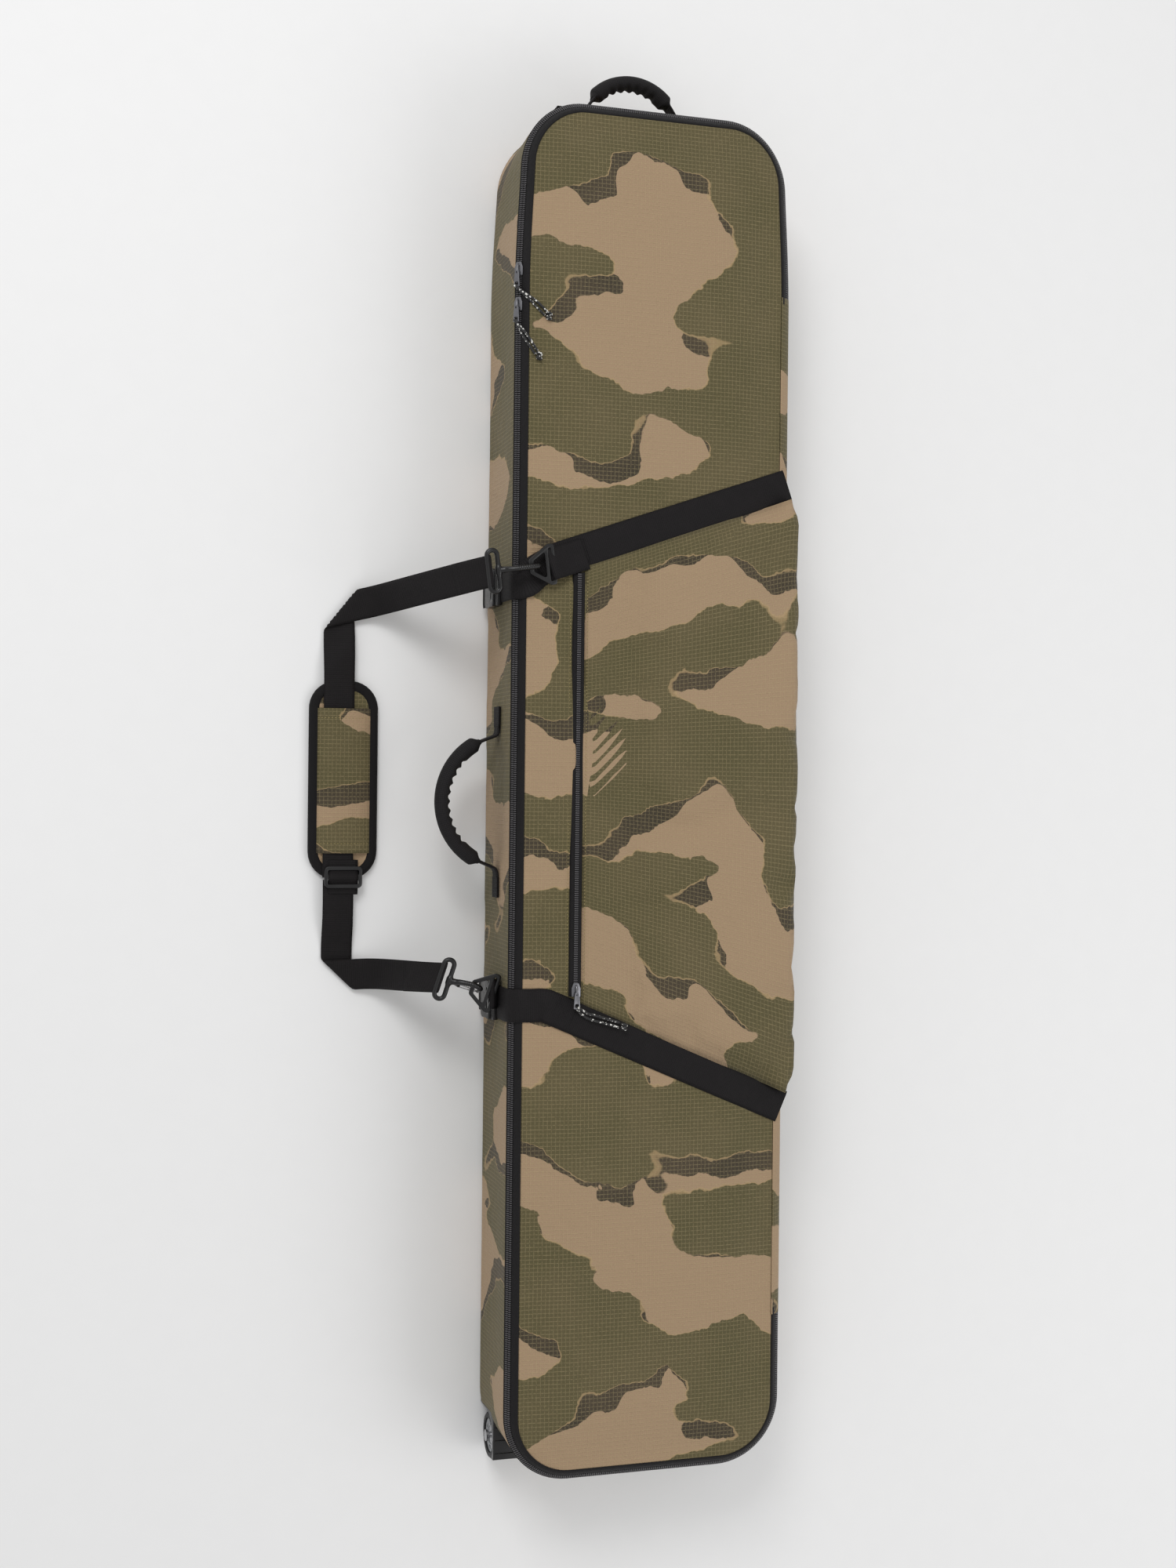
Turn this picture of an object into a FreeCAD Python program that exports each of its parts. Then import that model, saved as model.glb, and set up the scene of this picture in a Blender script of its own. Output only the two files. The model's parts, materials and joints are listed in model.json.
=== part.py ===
"""Wheeled snowboard bag, lying on its back with the shoulder strap laid out on its left side.

Frame: millimetres, origin at the centre of the back face that the bag rests on, +Z out of the front
panel, +Y towards the end with the top handle, +X towards the hinged long side of the front panel.
The front panel is a lid: the main zip runs round its other three sides.
"""

import FreeCAD, Part
import math
import os
import Sketcher
from FreeCAD import Placement, Rotation, Vector

doc = FreeCAD.newDocument("snowboard_bag")
sheet = doc.addObject("Spreadsheet::Sheet", "sizes")

SIZES = {
    "body_length": 1660,
    "body_width": 352,
    "corner_radius": 80,
    "wall": 5,
    "gusset_top": 146,
    "bevel": 14,
    "zip_parting": 7.05,
    "parting_gap": 0.5,
    "panel_inset": 12,
    "liner_thickness": 8,
    "liner_inset": 8,
    "webbing_width": 40,
    "webbing_thickness": 2.5,
    "pocket_left": -92,
    "pocket_right": 161,
    "pocket_mouth": 5,
    "pocket_depth": 14,
    "pocket_cloth": 3,
    "wheel_radius": 29,
    "wheel_width": 26,
    "wheel_end": 809,
    "wheel_height": 31,
    "wheel_outer": 165,
    "axle_radius": 4,
    "bearing_radius": 11,
    "hub_radius": 21,
    "grip_width": 26,
    "grip_depth": 18,
    "handle_band": 4,
    "pad_width": 85,
    "pad_length": 245,
    "pad_foam": 9,
    "strap_width": 38,
    "cord_diameter": 3,
}
for row, (alias, number) in enumerate(SIZES.items(), start=1):
    sheet.set(f"A{row}", alias)
    sheet.set(f"B{row}", str(number))
    sheet.setAlias(f"B{row}", alias)
doc.recompute()


def size(alias):
    """The value of one driving dimension."""
    return float(sheet.get(alias))


HALF_LENGTH = size("body_length") / 2
HALF_WIDTH = size("body_width") / 2
PANEL_TOP = size("gusset_top") + size("bevel")
STRAP_TOP = PANEL_TOP + size("webbing_thickness")
LARGE = 2000

nodes = {}


def node(name, made):
    """Files one finished sub-part under its node name."""
    made.Label = name
    nodes[name] = made
    return made


# ---------------------------------------------------------------- sketches and pads


def new_body(name):
    return doc.addObject("PartDesign::Body", name)


def sketch_on(body, role, name, height=None):
    """A sketch on one of the body's own origin planes, moved along its normal by an expression."""
    sketch = body.newObject("Sketcher::SketchObject", name)
    plane = next(feature for feature in body.Origin.OriginFeatures if feature.Role == role)
    sketch.AttachmentSupport = [(plane, "")]
    sketch.MapMode = "FlatFace"
    if height is not None:
        sketch.setExpression(".AttachmentOffset.Base.z", height)
    return sketch


def polygon(sketch, points):
    """A closed outline of straight edges."""
    count = len(points)
    for start, end in zip(points, points[1:] + points[:1]):
        sketch.addGeometry(Part.LineSegment(Vector(*start, 0), Vector(*end, 0)), False)
    first = sketch.GeometryCount - count
    for step in range(count):
        joined = first + (step + 1) % count
        sketch.addConstraint(Sketcher.Constraint("Coincident", first + step, 2, joined, 1))


def rounded_rectangle(sketch, half_width, half_length, radius, centre=(0, 0)):
    """A rectangle with round corners; returns its width, length and radius constraints."""
    x, y = centre
    w, l, r = half_width, half_length, radius
    corners = [(w - r, r - l, -90), (w - r, l - r, 0), (r - w, l - r, 90), (r - w, r - l, 180)]
    line_ends = [
        ((r - w, -l), (w - r, -l)),
        ((w, r - l), (w, l - r)),
        ((w - r, l), (r - w, l)),
        ((-w, l - r), (-w, r - l)),
    ]
    for (start, end), (cx, cy, angle) in zip(line_ends, corners):
        a, b = (Vector(x + p[0], y + p[1], 0) for p in (start, end))
        sketch.addGeometry(Part.LineSegment(a, b), False)
        whole = Part.Circle(Vector(x + cx, y + cy, 0), Vector(0, 0, 1), r)
        turn = math.radians(angle)
        sketch.addGeometry(Part.ArcOfCircle(whole, turn, turn + math.pi / 2), False)
    for step in range(8):
        sketch.addConstraint(Sketcher.Constraint("Tangent", step, 2, (step + 1) % 8, 1))
    for step in (0, 4):
        sketch.addConstraint(Sketcher.Constraint("Horizontal", step))
    for step in (2, 6):
        sketch.addConstraint(Sketcher.Constraint("Vertical", step))
    for step in (3, 5, 7):
        sketch.addConstraint(Sketcher.Constraint("Equal", 1, step))
    if centre == (0, 0):
        sketch.addConstraint(Sketcher.Constraint("Symmetric", 0, 1, 4, 1, -1, 1))
    width = sketch.addConstraint(Sketcher.Constraint("DistanceX", 6, 1, 2, 1, 2 * w))
    length = sketch.addConstraint(Sketcher.Constraint("DistanceY", 0, 1, 4, 1, 2 * l))
    rounding = sketch.addConstraint(Sketcher.Constraint("Radius", 1, r))
    return width, length, rounding


def body_outline(sketch, inset):
    """The bag's plan outline, stepped in by an expression of the sheet's sizes."""
    step = inset if isinstance(inset, (int, float)) else size(inset)
    cell = str(step) if isinstance(inset, (int, float)) else f"sizes.{inset}"
    radius = size("corner_radius") - step
    width, length, rounding = rounded_rectangle(
        sketch, HALF_WIDTH - step, HALF_LENGTH - step, radius
    )
    sketch.setExpression(f"Constraints[{width}]", f"sizes.body_width - 2 * {cell}")
    sketch.setExpression(f"Constraints[{length}]", f"sizes.body_length - 2 * {cell}")
    sketch.setExpression(f"Constraints[{rounding}]", f"sizes.corner_radius - {cell}")


def pad(body, sketch, length, midplane=False):
    feature = body.newObject("PartDesign::Pad", "Pad")
    feature.Profile = sketch
    feature.setExpression("Length", length)
    if midplane:
        feature.SideType = "Symmetric"
    sketch.Visibility = False
    return feature


def prism(name, role, points, length, height=None, midplane=False):
    """A body with straight sides, padded from a polygon."""
    body = new_body(name)
    sketch = sketch_on(body, role, name + "_outline", height)
    polygon(sketch, points)
    pad(body, sketch, length, midplane)
    return body


def plan_panel(name, inset, thickness, height):
    """A flat panel with the bag's plan outline."""
    body = new_body(name)
    sketch = sketch_on(body, "XY_Plane", name + "_outline", height)
    body_outline(sketch, inset)
    pad(body, sketch, thickness)
    return body


def box(name, low, high):
    """A block between two opposite corners."""
    made = doc.addObject("Part::Box", name)
    made.Length, made.Width, made.Height = (b - a for a, b in zip(low, high))
    made.Placement = Placement(Vector(*low), Rotation())
    return made


def cylinder(name, radius, length, start, direction=(1, 0, 0)):
    """A round bar from start along direction; radius and length are expressions or numbers."""
    made = doc.addObject("Part::Cylinder", name)
    made.setExpression("Radius", str(radius))
    made.setExpression("Height", str(length))
    made.Placement = Placement(Vector(*start), Rotation(Vector(0, 0, 1), Vector(*direction)))
    return made


def cut(name, base, *tools):
    """The base without the tools."""
    made = doc.addObject("Part::Cut", name)
    made.Base = base
    made.Tool = tools[0] if len(tools) == 1 else fused(name + "_tools", *tools)
    return made


def fused(name, *shapes):
    made = doc.addObject("Part::MultiFuse", name)
    made.Shapes = list(shapes)
    return made


def common(name, *shapes):
    made = doc.addObject("Part::MultiCommon", name)
    made.Shapes = list(shapes)
    return made


def group(name, *shapes):
    """Separate solids that share one node."""
    made = doc.addObject("Part::Compound", name)
    made.Links = list(shapes)
    return node(name, made)


def from_shape(name, shape, place=None):
    made = doc.addObject("Part::Feature", name)
    made.Shape = shape
    if place is not None:
        made.Placement = place
    return made


# ---------------------------------------------------------------- bag shell

WHEEL_Y = -size("wheel_end")
WHEEL_Z = size("wheel_height")
WELL_LOW = (size("wheel_outer") - 33, WHEEL_Y - 32, -1)
WELL_HIGH = (HALF_WIDTH + 1, WHEEL_Y + 40, 67)
ZIP_START = 608  # the zip's ends on the hinged side
ZIP_END = -646


def well_space(name):
    """The room in the bottom corners that the two wheel housings take up."""
    sides = []
    for side in (-1, 1):
        xs = sorted((side * WELL_LOW[0], side * WELL_HIGH[0]))
        sides.append(
            box(f"{name}_{side + 1}", (xs[0], WELL_LOW[1], -1), (xs[1], WELL_HIGH[1], WELL_HIGH[2]))
        )
    return sides


def make_shell():
    back = plan_panel("back_blank", 0, "sizes.wall", None)
    node("back_panel", cut("back_panel", back, *well_space("back_well")))

    liner = plan_panel("liner_blank", "liner_inset", "sizes.liner_thickness", "sizes.wall")
    node("foam_liner", cut("foam_liner", liner, *well_space("liner_well")))

    straight = HALF_LENGTH - size("corner_radius")
    wall, top = size("wall"), size("gusset_top")
    for name, side in (("left_gusset", -1), ("right_gusset", 1)):
        edge = sorted((side * HALF_WIDTH, side * (HALF_WIDTH - wall)))
        points = [(edge[0], -straight), (edge[1], -straight), (edge[1], straight), (edge[0], straight)]
        node(name, prism(name, "XY_Plane", points, "sizes.gusset_top - sizes.wall", "sizes.wall"))

    for name, side in (("top_end_panel", 1), ("bottom_end_panel", -1)):
        ring = new_body(name + "_ring")
        outline = sketch_on(ring, "XY_Plane", name + "_outline", "sizes.wall")
        body_outline(outline, 0)
        pad(ring, outline, "sizes.gusset_top - sizes.wall")
        hole = plan_panel(name + "_hole", "wall", "sizes.gusset_top", "0")
        near, far = sorted((side * straight, side * LARGE))
        keep = box(name + "_keep", (-LARGE, near, 0), (LARGE, far, top))
        end = common(name + "_end", cut(name + "_wall", ring, hole), keep)
        if side < 0:
            end = cut(name, end, *well_space("end_well"))
        node(name, end)


def sloped_ring(name, low_inset, high_inset, inner_inset):
    """A ring round the front edge with a 45 degree outer face and an upright inner one."""
    ring = new_body(name)
    low = sketch_on(ring, "XY_Plane", name + "_low", f"sizes.gusset_top + {low_inset}")
    body_outline(low, low_inset)
    high = sketch_on(ring, "XY_Plane", name + "_high", f"sizes.gusset_top + {high_inset}")
    body_outline(high, high_inset)
    loft = ring.newObject("PartDesign::AdditiveLoft", name + "_slope")
    loft.Profile = low
    loft.Sections = [high]
    loft.Ruled = True
    hole = plan_panel(name + "_hole", inner_inset, "sizes.body_width", "0")
    return cut(name + "_ring", ring, hole)


def make_main_zip():
    """Both halves of the zip, and the sewn fold that takes its place on the hinged side."""
    parting, gap = size("zip_parting"), size("parting_gap")
    halves = {
        "shell": (0, parting - gap / 2, parting - gap / 2),
        "lid": (parting + gap / 2, size("panel_inset"), size("panel_inset")),
    }
    fold_space = ((HALF_WIDTH - 40, ZIP_END, 0), (HALF_WIDTH + 40, ZIP_START, LARGE))
    for half, (low, high, inner) in halves.items():
        ring = sloped_ring(f"{half}_zip", low, high, inner)
        name = f"main_zip_{half}_side"
        node(name, cut(name, ring, box(half + "_fold_gap", *fold_space)))
    low, high, inner = halves["shell"]
    ring = sloped_ring("fold", low, high, inner)
    node("hinge_fold", common("hinge_fold", ring, box("fold_keep", *fold_space)))


def make_front_panel():
    panel = new_body("front_panel")
    sketch = sketch_on(panel, "XY_Plane", "front_outline", "sizes.gusset_top + sizes.zip_parting + 0.25")
    body_outline(sketch, "panel_inset")
    feature = pad(panel, sketch, "sizes.bevel - sizes.zip_parting - 0.25")
    doc.recompute()
    rim = [
        f"Edge{number}"
        for number, edge in enumerate(feature.Shape.Edges, start=1)
        if edge.BoundBox.ZMin > PANEL_TOP - 0.01
    ]
    chamfer = panel.newObject("PartDesign::Chamfer", "front_rim")
    chamfer.Base = (feature, rim)
    chamfer.setExpression("Size", "sizes.bevel - sizes.panel_inset")
    node("front_panel", panel)


# ---------------------------------------------------------------- lash straps and pocket

UPPER_BEND = (-125, 277)
UPPER_SLOPE = 0.3515
UPPER_SIDE_Y = 248
LOWER_BEND = (-135, -256)
LOWER_SLOPE = -0.4335
LOWER_SIDE_Y = -257
STRAP_RIGHT = 175
BUCKLE_TOP = 104


def strap_edges(bend, slope, x, clearance=0.0):
    """The two edges of a slanted strap at one x, lower first."""
    half = size("webbing_width") / 2 * math.hypot(1, slope) + clearance
    middle = bend[1] + (x - bend[0]) * slope
    return middle - half, middle + half


def lash_profile(name):
    """The path of a lash strap over the lid and down the left side, as wide as the whole bag."""
    thick = size("webbing_thickness")
    lean = thick * math.sqrt(2)
    inner = HALF_WIDTH + size("gusset_top") + 1.2
    side = HALF_WIDTH + 1
    outer = inner + lean
    points = [
        (-side, BUCKLE_TOP),
        (-side, inner - side),
        (PANEL_TOP - inner, PANEL_TOP),
        (inner - PANEL_TOP - 0.8, PANEL_TOP),
        (165, inner - 165 - 0.8),
        (165 + thick * 0.7, inner - 165 + thick * 0.7),
        (outer - STRAP_TOP, STRAP_TOP),
        (STRAP_TOP - outer + 1, STRAP_TOP),
        (-side - thick, outer - side - thick - 0.5),
        (-side - thick, BUCKLE_TOP),
    ]
    return prism(name, "XZ_Plane", points, "sizes.body_length", None, True)


def make_lash_strap(name, bend, slope, side_y):
    half = size("webbing_width") / 2
    right_low, right_high = strap_edges(bend, slope, STRAP_RIGHT)
    bend_low, bend_high = strap_edges(bend, slope, bend[0])
    left = -HALF_WIDTH - 20
    side = -HALF_WIDTH + 4
    points = [
        (STRAP_RIGHT, right_low),
        (STRAP_RIGHT, right_high),
        (bend[0], bend_high),
        (side, side_y + half),
        (left, side_y + half),
        (left, side_y - half),
        (side, side_y - half),
        (bend[0], bend_low),
    ]
    plan = prism(name + "_plan", "XY_Plane", points, "sizes.body_width", "0")
    node(name, common(name, lash_profile(name + "_profile"), plan))


def pocket_plan(left, right, step=0.0):
    """The pocket between the two lash straps, narrower by step."""
    return [
        (left, strap_edges(LOWER_BEND, LOWER_SLOPE, left, 1 + step)[1]),
        (right, strap_edges(LOWER_BEND, LOWER_SLOPE, right, 1 + step)[1]),
        (right, strap_edges(UPPER_BEND, UPPER_SLOPE, right, 1 + step)[0]),
        (left, strap_edges(UPPER_BEND, UPPER_SLOPE, left, 1 + step)[0]),
    ]


def make_pocket():
    left, right = size("pocket_left"), size("pocket_right")
    cloth, mouth, depth = size("pocket_cloth"), size("pocket_mouth"), size("pocket_depth")
    low, high = PANEL_TOP + mouth, PANEL_TOP + depth
    plan = pocket_plan(left, right)
    length = "sizes.body_length"

    cover_plan = prism("pocket_cover_plan", "XY_Plane", plan, length, "0")
    cover = [(left, low), (right, high), (right, high + cloth), (left, low + cloth)]
    sheet_of_cover = prism("pocket_cover", "XZ_Plane", cover, length, None, True)
    node("pocket_panel", common("pocket_panel", sheet_of_cover, cover_plan))

    side_plan = prism("pocket_side_plan", "XY_Plane", plan, length, "0")
    under = [(left, PANEL_TOP), (right, PANEL_TOP), (right, high), (left, low)]
    under_cover = prism("pocket_under", "XZ_Plane", under, length, None, True)
    inner_plan = pocket_plan(left - 1, right - cloth, cloth)
    inside = prism("pocket_inside", "XY_Plane", inner_plan, length, "0")
    node("pocket_gusset", cut("pocket_gusset", common("pocket_sides", under_cover, side_plan), inside))

    zip_x, gap = left - 12, 2
    ends = [
        strap_edges(LOWER_BEND, LOWER_SLOPE, zip_x, gap)[1],
        strap_edges(UPPER_BEND, UPPER_SLOPE, zip_x, gap)[0],
    ]
    tape = [(left - 14, PANEL_TOP), (left - 0.3, low), (left - 0.3, low + 2.5), (left - 14, PANEL_TOP + 2)]
    tape_sheet = prism("pocket_zip_sheet", "XZ_Plane", tape, length, None, True)
    span = box("pocket_zip_span", (left - 20, ends[0], 0), (left, ends[1], LARGE))
    node("pocket_zip", common("pocket_zip", tape_sheet, span))


PRONG_OFFSET = 14  # each prong from the middle of its buckle


def make_lash_buckles():
    """Side-release buckles on the left side: tongues on the straps, sockets on the shell."""
    tongues, sockets, anchors = [], [], []
    thick = size("webbing_thickness")
    inner = -HALF_WIDTH - 1
    for name, y in (("upper", UPPER_SIDE_Y), ("lower", LOWER_SIDE_Y)):
        bar = box(name + "_tongue_bar", (inner - 6, y - 23, 92), (inner, y + 23, BUCKLE_TOP))
        prongs = []
        for side in (-1, 1):
            middle = y + side * PRONG_OFFSET
            low, high = (inner - 4, middle - 4, 82), (inner - 1.6, middle + 4, 92)
            prongs.append(box(f"{name}_prong_{side}", low, high))
        tongues.append(fused(name + "_tongue", bar, *prongs))
        case = box(name + "_socket_case", (inner - 8.5, y - 23, 52), (inner, y + 23, 91))
        hollow = box(name + "_socket_hollow", (inner - 7, y - 20, 64), (inner - 0.8, y + 20, 92))
        sockets.append(cut(name + "_socket", case, hollow))
        anchors.append(box(name + "_anchor", (inner - thick, y - 20, 12), (inner + 1, y + 20, 52)))
    group("lash_buckle_tongues", *tongues)
    group("lash_buckle_sockets", *sockets)
    group("buckle_anchor_webbing", *anchors)


# ---------------------------------------------------------------- wheels


WELL_RADIUS = 33


def make_wheel(side_name, side):
    """One bottom-corner wheel with its housing; side is -1 on the left and 1 on the right."""
    outer, width = size("wheel_outer"), size("wheel_width")

    def across(a, b):
        """An interval of x on this side, low end first."""
        return sorted((side * a, side * b))

    block_x = across(outer - 32.7, outer + 3)
    block_low = (block_x[0], WHEEL_Y - 21, 1)
    block_high = (block_x[1], WHEEL_Y + 39.5, 66)
    block = box(side_name + "_housing_block", block_low, block_high)
    well_x = across(outer - width - 2, outer + 6)
    start = (well_x[0], WHEEL_Y, WHEEL_Z)
    well = cylinder(side_name + "_well", "sizes.wheel_radius + 4", well_x[1] - well_x[0], start)
    gap_low = (well_x[0], WHEEL_Y - WELL_RADIUS, -1)
    gap_high = (well_x[1], WHEEL_Y + WELL_RADIUS, WHEEL_Z)
    floor_gap = box(side_name + "_floor_gap", gap_low, gap_high)
    bore_x = across(outer - 40, outer)
    bore = cylinder(side_name + "_axle_bore", "sizes.axle_radius", 40, (bore_x[0], WHEEL_Y, WHEEL_Z))
    opening = fused(side_name + "_well_cut", well, floor_gap, bore)
    node(side_name + "_wheel_housing", cut(side_name + "_wheel_housing", block, opening))

    def ring(name, outer_radius, inner_radius, a, b):
        x = across(a, b)
        solid = cylinder(name + "_solid", outer_radius, x[1] - x[0], (x[0], WHEEL_Y, WHEEL_Z))
        hole = cylinder(name + "_hole", inner_radius, x[1] - x[0] + 2, (x[0] - 1, WHEEL_Y, WHEEL_Z))
        return node(name, cut(name, solid, hole))

    inner = outer - width
    bearing_bore = "sizes.axle_radius + 0.05"
    ring(side_name + "_wheel_tyre", "sizes.wheel_radius", "sizes.hub_radius", inner, outer)
    ring(side_name + "_wheel_hub", "sizes.hub_radius", "sizes.bearing_radius", inner + 2, outer - 2)
    ring(side_name + "_wheel_bearing", "sizes.bearing_radius", bearing_bore, inner + 3, outer - 3)

    pin_x = across(inner - 6.5, outer + 1)
    pin_start = (pin_x[0], WHEEL_Y, WHEEL_Z)
    pin = cylinder(side_name + "_pin", "sizes.axle_radius", pin_x[1] - pin_x[0], pin_start)
    head_x = across(outer + 1, outer + 4)
    head = cylinder(side_name + "_pin_head", "sizes.axle_radius + 3", 3, (head_x[0], WHEEL_Y, WHEEL_Z))
    return fused(side_name + "_axle", pin, head)


def make_wheels():
    group("wheel_axles", make_wheel("left", -1), make_wheel("right", 1))
    screws = []
    for side in (-1, 1):
        for y in (WHEEL_Y + 8, WHEEL_Y + 30):
            name = f"screw_{side + 1}_{y:.0f}".replace("-", "m")
            screws.append(cylinder(name, 4, 2, (side * (size("wheel_outer") - 22), y, 66), (0, 0, 1)))
    group("housing_screws", *screws)


# ---------------------------------------------------------------- carrying handles


def arc_band(name, centre, radius, thickness, width, sweep, height):
    """A band bent round part of a circle in plan: sweep is its first and last angle in degrees."""
    band = new_body(name)
    sketch = sketch_on(band, "XY_Plane", name + "_arc", height)
    first, last = (math.radians(angle) for angle in sweep)
    middle = Vector(*centre, 0)
    up = Vector(0, 0, 1)
    for r in (radius - thickness / 2, radius + thickness / 2):
        sketch.addGeometry(Part.ArcOfCircle(Part.Circle(middle, up, r), first, last), False)
    for angle in (first, last):
        direction = Vector(math.cos(angle), math.sin(angle), 0)
        ends = [middle + direction * (radius + s * thickness / 2) for s in (-1, 1)]
        sketch.addGeometry(Part.LineSegment(*ends), False)
    for line, end in ((2, 1), (3, 2)):
        sketch.addConstraint(Sketcher.Constraint("Coincident", 0, end, line, 1))
        sketch.addConstraint(Sketcher.Constraint("Coincident", 1, end, line, 2))
    pad(band, sketch, width, True)
    return band


TOP_HANDLE = {"centre": (-22, 812), "radius": 62, "height": 110}
SIDE_HANDLE = {"centre": (-165, -14), "radius": 81, "height": 90}
HANDLE_REST = 14  # the moving part of each handle starts this far from the wall


def make_handle(name, handle, towards, wall, grip_sweep):
    """A webbing handle with a moulded grip, which leaves the bag in the direction towards."""
    centre, radius, height = handle["centre"], handle["radius"], str(handle["height"])
    reach = math.degrees(math.acos((wall + HANDLE_REST) / radius))
    sweep = (towards - reach, towards + reach)
    thin, deep = size("handle_band"), size("grip_depth")
    band_width = "sizes.grip_width - 4"
    node(name + "_webbing", arc_band(name + "_band", centre, radius, thin, band_width, sweep, height))
    grip_range = (towards - grip_sweep, towards + grip_sweep)
    grip = arc_band(name + "_sleeve", centre, radius, deep, "sizes.grip_width", grip_range, height)
    slot = arc_band(name + "_slot", centre, radius, thin, band_width, grip_range, height)
    node(name + "_grip", cut(name + "_grip", grip, slot))


def make_handles():
    top_wall = HALF_LENGTH - TOP_HANDLE["centre"][1]
    make_handle("top_handle", TOP_HANDLE, 90, top_wall, 42)
    side_wall = HALF_WIDTH + SIDE_HANDLE["centre"][0]
    make_handle("side_handle", SIDE_HANDLE, 180, side_wall, 55)
    tabs = []
    y, z = HALF_LENGTH, TOP_HANDLE["height"]
    for x in (-100, 56):
        tabs.append(box(f"top_tab_{len(tabs)}", (x - 19, y, z - 15), (x + 19, y + 3, z + 15)))
    x, z = -HALF_WIDTH, SIDE_HANDLE["height"]
    for y in (83, -112):
        tabs.append(box(f"side_tab_{len(tabs)}", (x - 3, y - 19, z - 15), (x, y + 19, z + 15)))
    group("handle_anchor_tabs", *tabs)


# ---------------------------------------------------------------- zip sliders, pulls and cords


def smooth_route(points):
    """Straight runs joined by tangent arcs, and the arc radii."""
    runs = [(b - a).Length for a, b in zip(points, points[1:])]
    edges, radii, last = [], [], points[0]
    for i in range(1, len(points) - 1):
        before = (points[i - 1] - points[i]).normalize()
        after = (points[i + 1] - points[i]).normalize()
        half_turn = (math.pi - before.getAngle(after)) / 2
        step = 0.45 * min(runs[i - 1], runs[i])
        radii.append(step / math.tan(half_turn))
        start, end = points[i] + before * step, points[i] + after * step
        inward = (before + after).normalize()
        middle = points[i] + inward * (radii[-1] / math.cos(half_turn) - radii[-1])
        edges.append(Part.LineSegment(last, start).toShape())
        edges.append(Part.Arc(start, middle, end).toShape())
        last = end
    edges.append(Part.LineSegment(last, points[-1]).toShape())
    return Part.Wire(edges), radii


def cord(name, routes):
    """The strands of one pull cord, each a round tube along its own route."""
    radius = size("cord_diameter") / 2
    strands = []
    for points in routes:
        path, radii = smooth_route([Vector(*point) for point in points])
        start = Vector(*points[0])
        direction = Vector(*points[1]) - start
        ring = Part.Wire(Part.Circle(start, direction, radius).toShape())
        tube = path.makePipeShell([ring], True, False)
        expected = math.pi * radius**2 * path.Length
        print(f"{name}: {path.Length:.1f} mm, radii {[round(r, 1) for r in radii]}")
        if abs(tube.Volume - expected) > 0.02 * expected:
            raise ValueError(f"{name}: the tube's volume is {tube.Volume:.0f}, not {expected:.0f}")
        strands.append(from_shape(f"{name}_strand_{len(strands)}", tube))
    return group(name, *strands)


def knot(name, centre):
    """The knot that ties a pull cord's two strands, a short egg round the cord ends."""
    made = doc.addObject("Part::Ellipsoid", name)
    made.Radius1, made.Radius2, made.Radius3 = 4, 5, 4
    made.Placement = Placement(Vector(*centre), Rotation())
    return node(name, made)


BEVEL_OUT = Vector(-1, 0, 1).normalize()
BEVEL_ALONG = Vector(1, 0, 1).normalize()
MAIN_SLIDERS = {"upper": 623, "lower": 581}
SLIDER_X = -173.5
SLIDER_Z = SLIDER_X + HALF_WIDTH + size("gusset_top")
MAIN_CORDS = {
    "upper": (
        [
            (-179.9, 602.4, 155.9),
            (-172, 594, 161.2),
            (-159.5, 587, 163.6),
            (-148.5, 579, 163.6),
            (-140.5, 571.5, 163.2),
        ],
        [
            (-175.8, 602, 151.6),
            (-171, 595, 155.8),
            (-163.5, 586, 162.2),
            (-153, 576.5, 162),
            (-143.5, 567.5, 162),
        ],
        (-139, 566.5, 164.6),
    ),
    "lower": (
        [
            (-179.5, 561, 155.3),
            (-173, 552, 161),
            (-165, 542, 164),
            (-158, 532, 164),
            (-152.5, 524, 163.4),
        ],
        [
            (-175.8, 560, 151.6),
            (-172.5, 551, 155),
            (-168.5, 541, 158.5),
            (-161.5, 530, 162.3),
            (-155, 520.5, 162),
        ],
        (-150.5, 518, 164.6),
    ),
}
POCKET_CORD = (
    [(-97, -258, 177), (-88, -265, 174.5), (-74, -269, 172.7), (-59, -273, 172.7), (-44, -278, 173)],
    [(-99, -258, 171.5), (-91, -269, 171.3), (-76, -275, 171.4), (-60, -279, 172), (-45, -284, 172.4)],
    (-38.5, -283, 174.5),
)


def bevel_block(name, middle, along, length, out):
    """A block on the sloped front edge: extents along the slope, along the zip and outwards."""
    made = doc.addObject("Part::Box", name)
    made.Length, made.Width, made.Height = along, length, out[1] - out[0]
    turn = Rotation(BEVEL_ALONG, Vector(0, 1, 0), BEVEL_OUT, "ZXY")
    corner = middle + BEVEL_OUT * out[0] - BEVEL_ALONG * (along / 2) - Vector(0, length / 2, 0)
    made.Placement = Placement(corner, turn)
    return made


def make_main_sliders():
    for name, y in MAIN_SLIDERS.items():
        middle = Vector(SLIDER_X, y, SLIDER_Z)
        plate = bevel_block(f"{name}_slider_plate", middle, 9, 17, (0.6, 3.6))
        bridge = bevel_block(f"{name}_slider_bridge", middle + Vector(0, -2, 0), 3, 9, (3.6, 5.2))
        node(f"{name}_main_slider", fused(f"{name}_main_slider", plate, bridge))
        tab_middle = middle + Vector(0, -13, 0)
        tab = bevel_block(f"{name}_tab_plate", tab_middle, 8, 19, (5.5, 7.3))
        hole_middle = middle + Vector(0, -19, 0)
        hole = bevel_block(f"{name}_tab_hole", hole_middle, 4.4, 4.4, (5, 8))
        node(f"{name}_main_pull_tab", cut(f"{name}_main_pull_tab", tab, hole))
        first, second, knotted = MAIN_CORDS[name]
        cord(f"{name}_main_pull_cord", (first, second))
        knot(f"{name}_main_pull_knot", knotted)


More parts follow.
